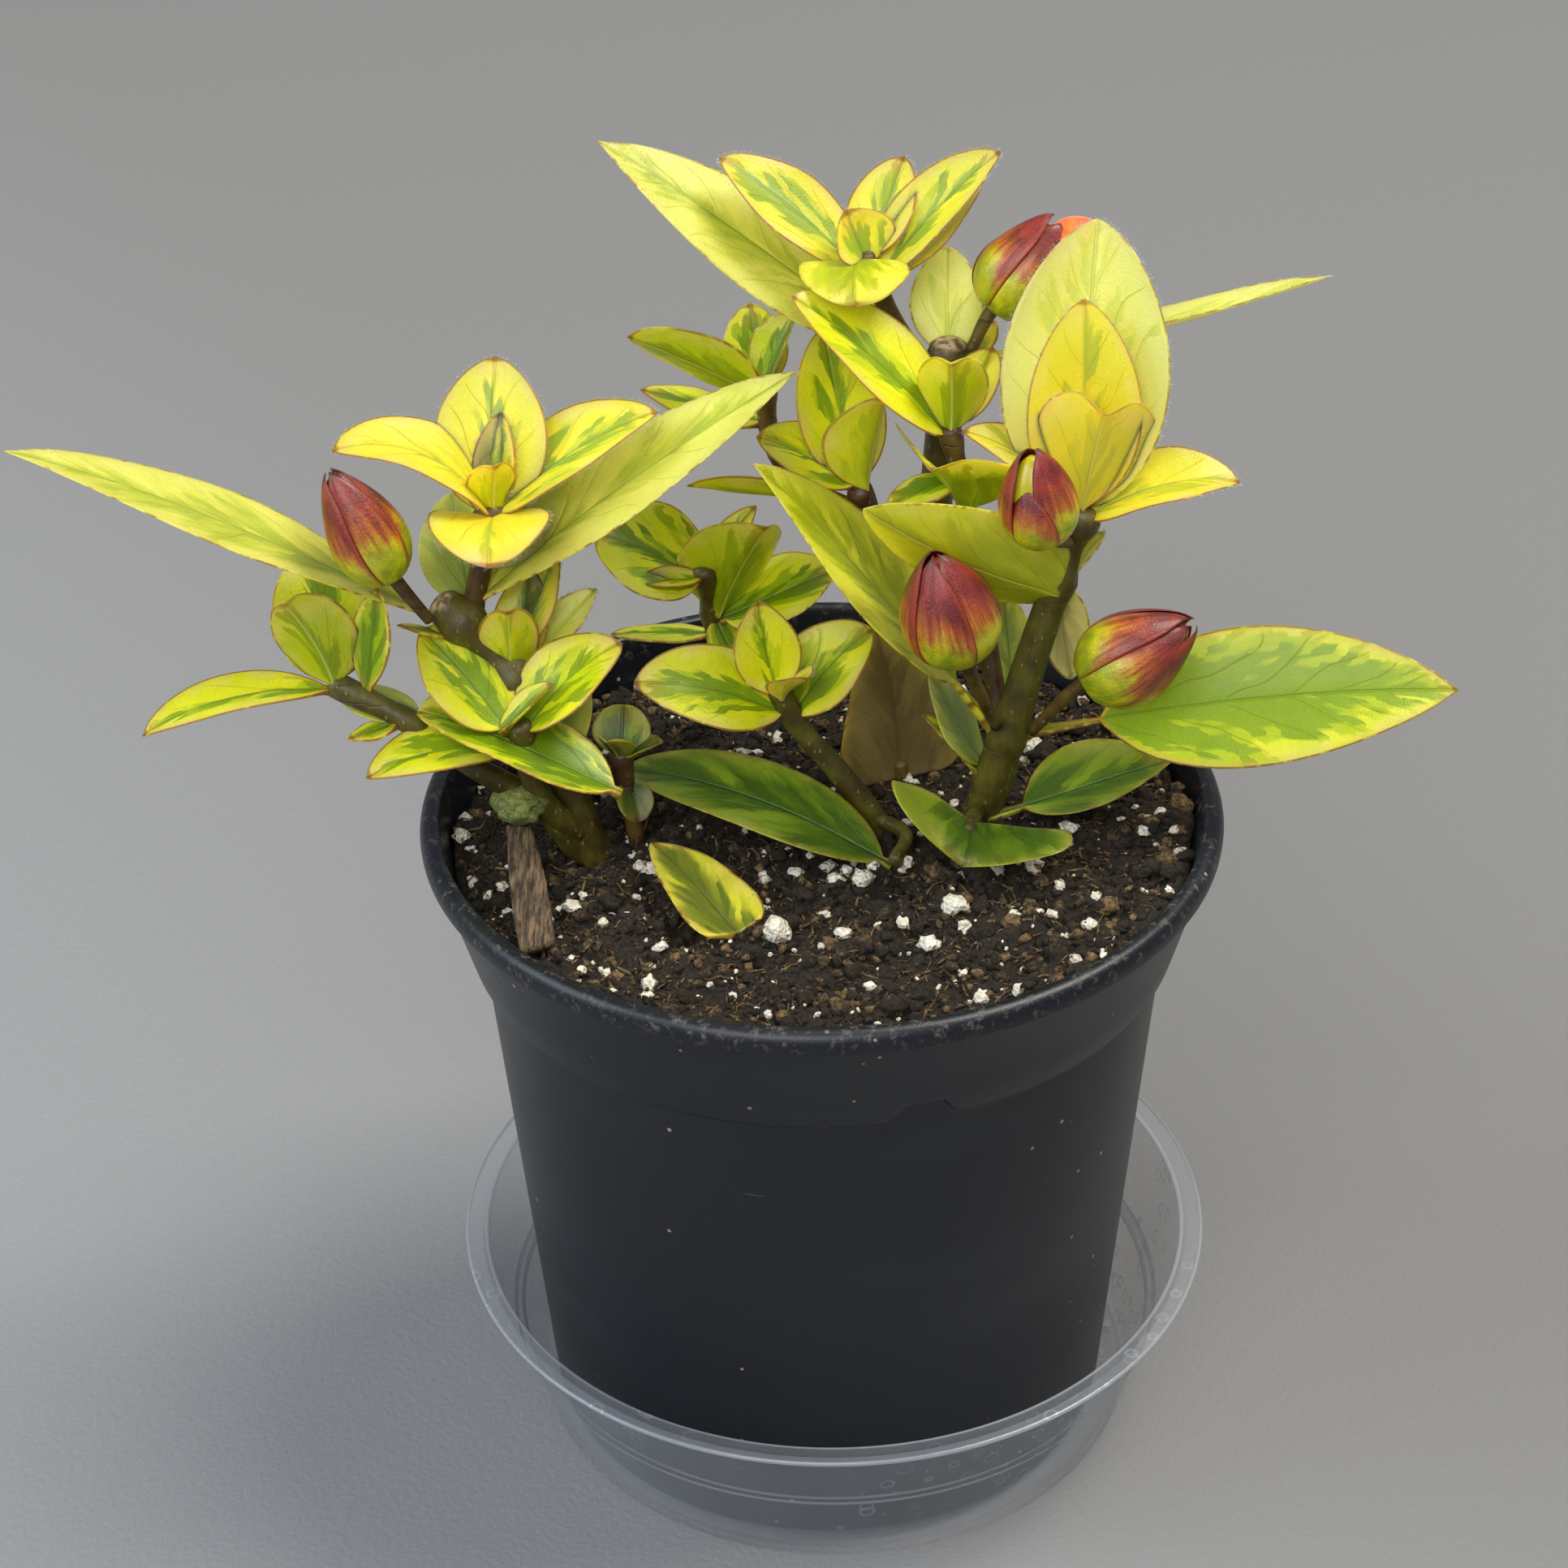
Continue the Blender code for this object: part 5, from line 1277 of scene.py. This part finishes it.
def bark_strip(rows=40, columns=40):
    """A flat bar with a rough long grain: square-cornered rings that vary along its length."""
    start, end = BARK_ENDS
    ahead = unit(end - start)
    side = unit(np.cross(ahead, (0, 0, 1)))
    t = np.linspace(0, 1, rows)[:, None]
    angle = 2 * np.pi * np.arange(columns) / columns
    half = BARK_HALF_WIDTH * (0.85 + 0.25 * np.sin(2.6 * t + 0.8))
    grain = BARK_GRAIN * random_field(angle * 9.0 + 0 * t, t * 7.0 + 0 * angle, 1.0, 5)
    box = (np.cos(angle) ** 4 + np.sin(angle) ** 4) ** -0.25
    w = (half + grain) * box * np.cos(angle)
    h = (BARK_HALF_THICK + grain) * box * np.sin(angle) + BARK_HALF_THICK
    slant = 1.5 * (0.5 - t) * np.cos(angle)
    centre = start + t * (end - start)
    return (centre[:, None] + w[..., None] * side + h[..., None] * np.cross(side, ahead)
            + slant[..., None] * ahead)


def bark_material():
    """Brown with a pale grain that is drawn out along the strip."""
    sh = Shader("dead_bark")
    place = sh.place()
    grain = sh.noise(sh.stretched(place, 1500.0, 190.0, 700.0), 1.0, 5.0, 0.65)
    cloud = sh.noise(place, 240.0)
    colour = sh.mix(grain.step(0.35, 0.68), (48, 36, 25), (144, 118, 86))
    colour = sh.mix(cloud.step(0.45, 0.7) * 0.5, colour, (48, 36, 26))
    return sh.finish(Base_Color=colour, Roughness=0.8 + grain * 0.1, Normal=sh.bump(grain, 0.0012))


bark = Pile()
bark.add_rings(bark_strip())
bark.make("bark", bark_material(), "bark", "bark_strip")


# %% Callus pad
def callus_material():
    """Green in patches under a pale fuzz."""
    sh = Shader("callus")
    place = sh.place()
    fuzz = sh.noise(place, 1700.0, 4.0, 0.7)
    cloud = sh.noise(place, 420.0)
    colour = sh.mix(cloud.step(0.35, 0.65), (104, 122, 44), (156, 166, 78))
    colour = sh.mix(fuzz.step(0.45, 0.65) * 0.55, colour, (206, 206, 150))
    return sh.finish(Base_Color=colour, Roughness=0.85 + fuzz * 0.1, Normal=sh.bump(fuzz + cloud, 0.0011))


callus = Pile()
points, faces = round_shape(5)
bumps = random_field(points[:, 0] * 3 + 9, points[:, 1] * 3 + points[:, 2] * 2, 1.0, 8)
ball = points * (0.90 + 0.40 * bumps)[:, None] * (3.7, 2.9, 2.7)
callus.add(ball + np.array([-44.3, -9.2, 114.8]), faces.tolist())
callus.make("callus_pad", callus_material(), "leaf")

# %% [markdown]
# ## Stage, light and camera
# The floor is pale, with painted light and shade: lighter and cooler towards the
# front left, darker and warmer towards the back right. A broad warm light stands
# high at the right and a little behind, as a window does, another broad one in
# front, and a weak cool one at the left. A little light comes from all round. The
# floor lies a twentieth of a millimetre under the saucer, so that no two faces
# coincide.

# %% Floor
FLOOR_HALF, FLOOR_Z = 4000.0, -0.05
corners = [(x * FLOOR_HALF, y * FLOOR_HALF, FLOOR_Z) for x, y in ((-1, -1), (1, -1), (1, 1), (-1, 1))]
floor_mesh = new_mesh("floor", np.array(corners), [(0, 1, 2, 3)])
floor = new_object("floor", floor_mesh)
paper = Shader("paper")
paper_grain = paper.noise(paper.place(), 900.0)
x, y, _ = paper.parts(paper.place())
# Painted light: the floor is lighter and cooler towards the front left; painted shade: darker and warmer
# towards the back right.
painted_light_near_left = (x + y * 0.6).step(0.15, -0.20)
floor_mesh.materials.append(paper.finish(
    Base_Color=paper.paint(paper.mix(painted_light_near_left, (128, 127, 125), (143, 144, 146)),
                           (paper_grain * 0.4, (122, 122, 123))),
    Roughness=0.9, Normal=paper.bump(paper_grain, 0.0002)))
bpy.context.scene.view_settings.view_transform = "Standard"


# %% Lights
def aimed(place, ahead, roll=0.0):
    """The matrix of a lamp or camera at this place that looks ahead, turned by roll."""
    ahead = unit(np.array(ahead))
    right = unit(np.cross(ahead, (0, 0, 1)))
    above = np.cross(right, ahead)
    matrix = np.eye(4)
    matrix[:3, 0] = math.cos(roll) * right + math.sin(roll) * above
    matrix[:3, 1] = math.cos(roll) * above - math.sin(roll) * right
    matrix[:3, 2], matrix[:3, 3] = -ahead, place
    return Matrix(matrix.tolist())


def area_light(name, place, target_z, size, power, colour):
    """A square lamp that looks at a point on the pot's axis."""
    lamp = bpy.data.lights.new(name, "AREA")
    lamp.size, lamp.energy, lamp.color = size, power, colour
    new_object(name, lamp).matrix_world = aimed(place, np.array([0, 0, target_z]) - place)


area_light("window", (1.15, 0.30, 2.40), 0.12, 1.2, 64.0, (1.0, 0.955, 0.87))
area_light("front", (-0.5, -1.9, 1.9), 0.12, 1.6, 42.0, (0.97, 0.98, 1.0))
area_light("side", (-1.3, -0.3, 0.9), 0.1, 1.0, 13.0, (0.80, 0.90, 1.0))
world = bpy.data.worlds.new("room")
world.use_nodes = True
sky = world.node_tree.nodes["Background"]
sky.inputs["Color"].default_value = (0.80, 0.86, 0.95, 1.0)
sky.inputs["Strength"].default_value = 0.31
bpy.context.scene.world = world
print(len(bpy.data.lights), "lights")

# %% Camera
YAW, PITCH, ROLL = -0.0122, 0.5699, -0.0191
LENS, SENSOR, NEAREST = 82.475, 36.0, 0.01
CAMERA_PLACE = (0.0, -0.45126, 0.40089)
lens = bpy.data.cameras.new("camera")
lens.lens, lens.sensor_width, lens.clip_start = LENS, SENSOR, NEAREST
camera = new_object("camera", lens)
camera.matrix_world = aimed(
    CAMERA_PLACE, (math.sin(YAW) * math.cos(PITCH), math.cos(YAW) * math.cos(PITCH), -math.sin(PITCH)),
    ROLL)
bpy.context.scene.camera = camera
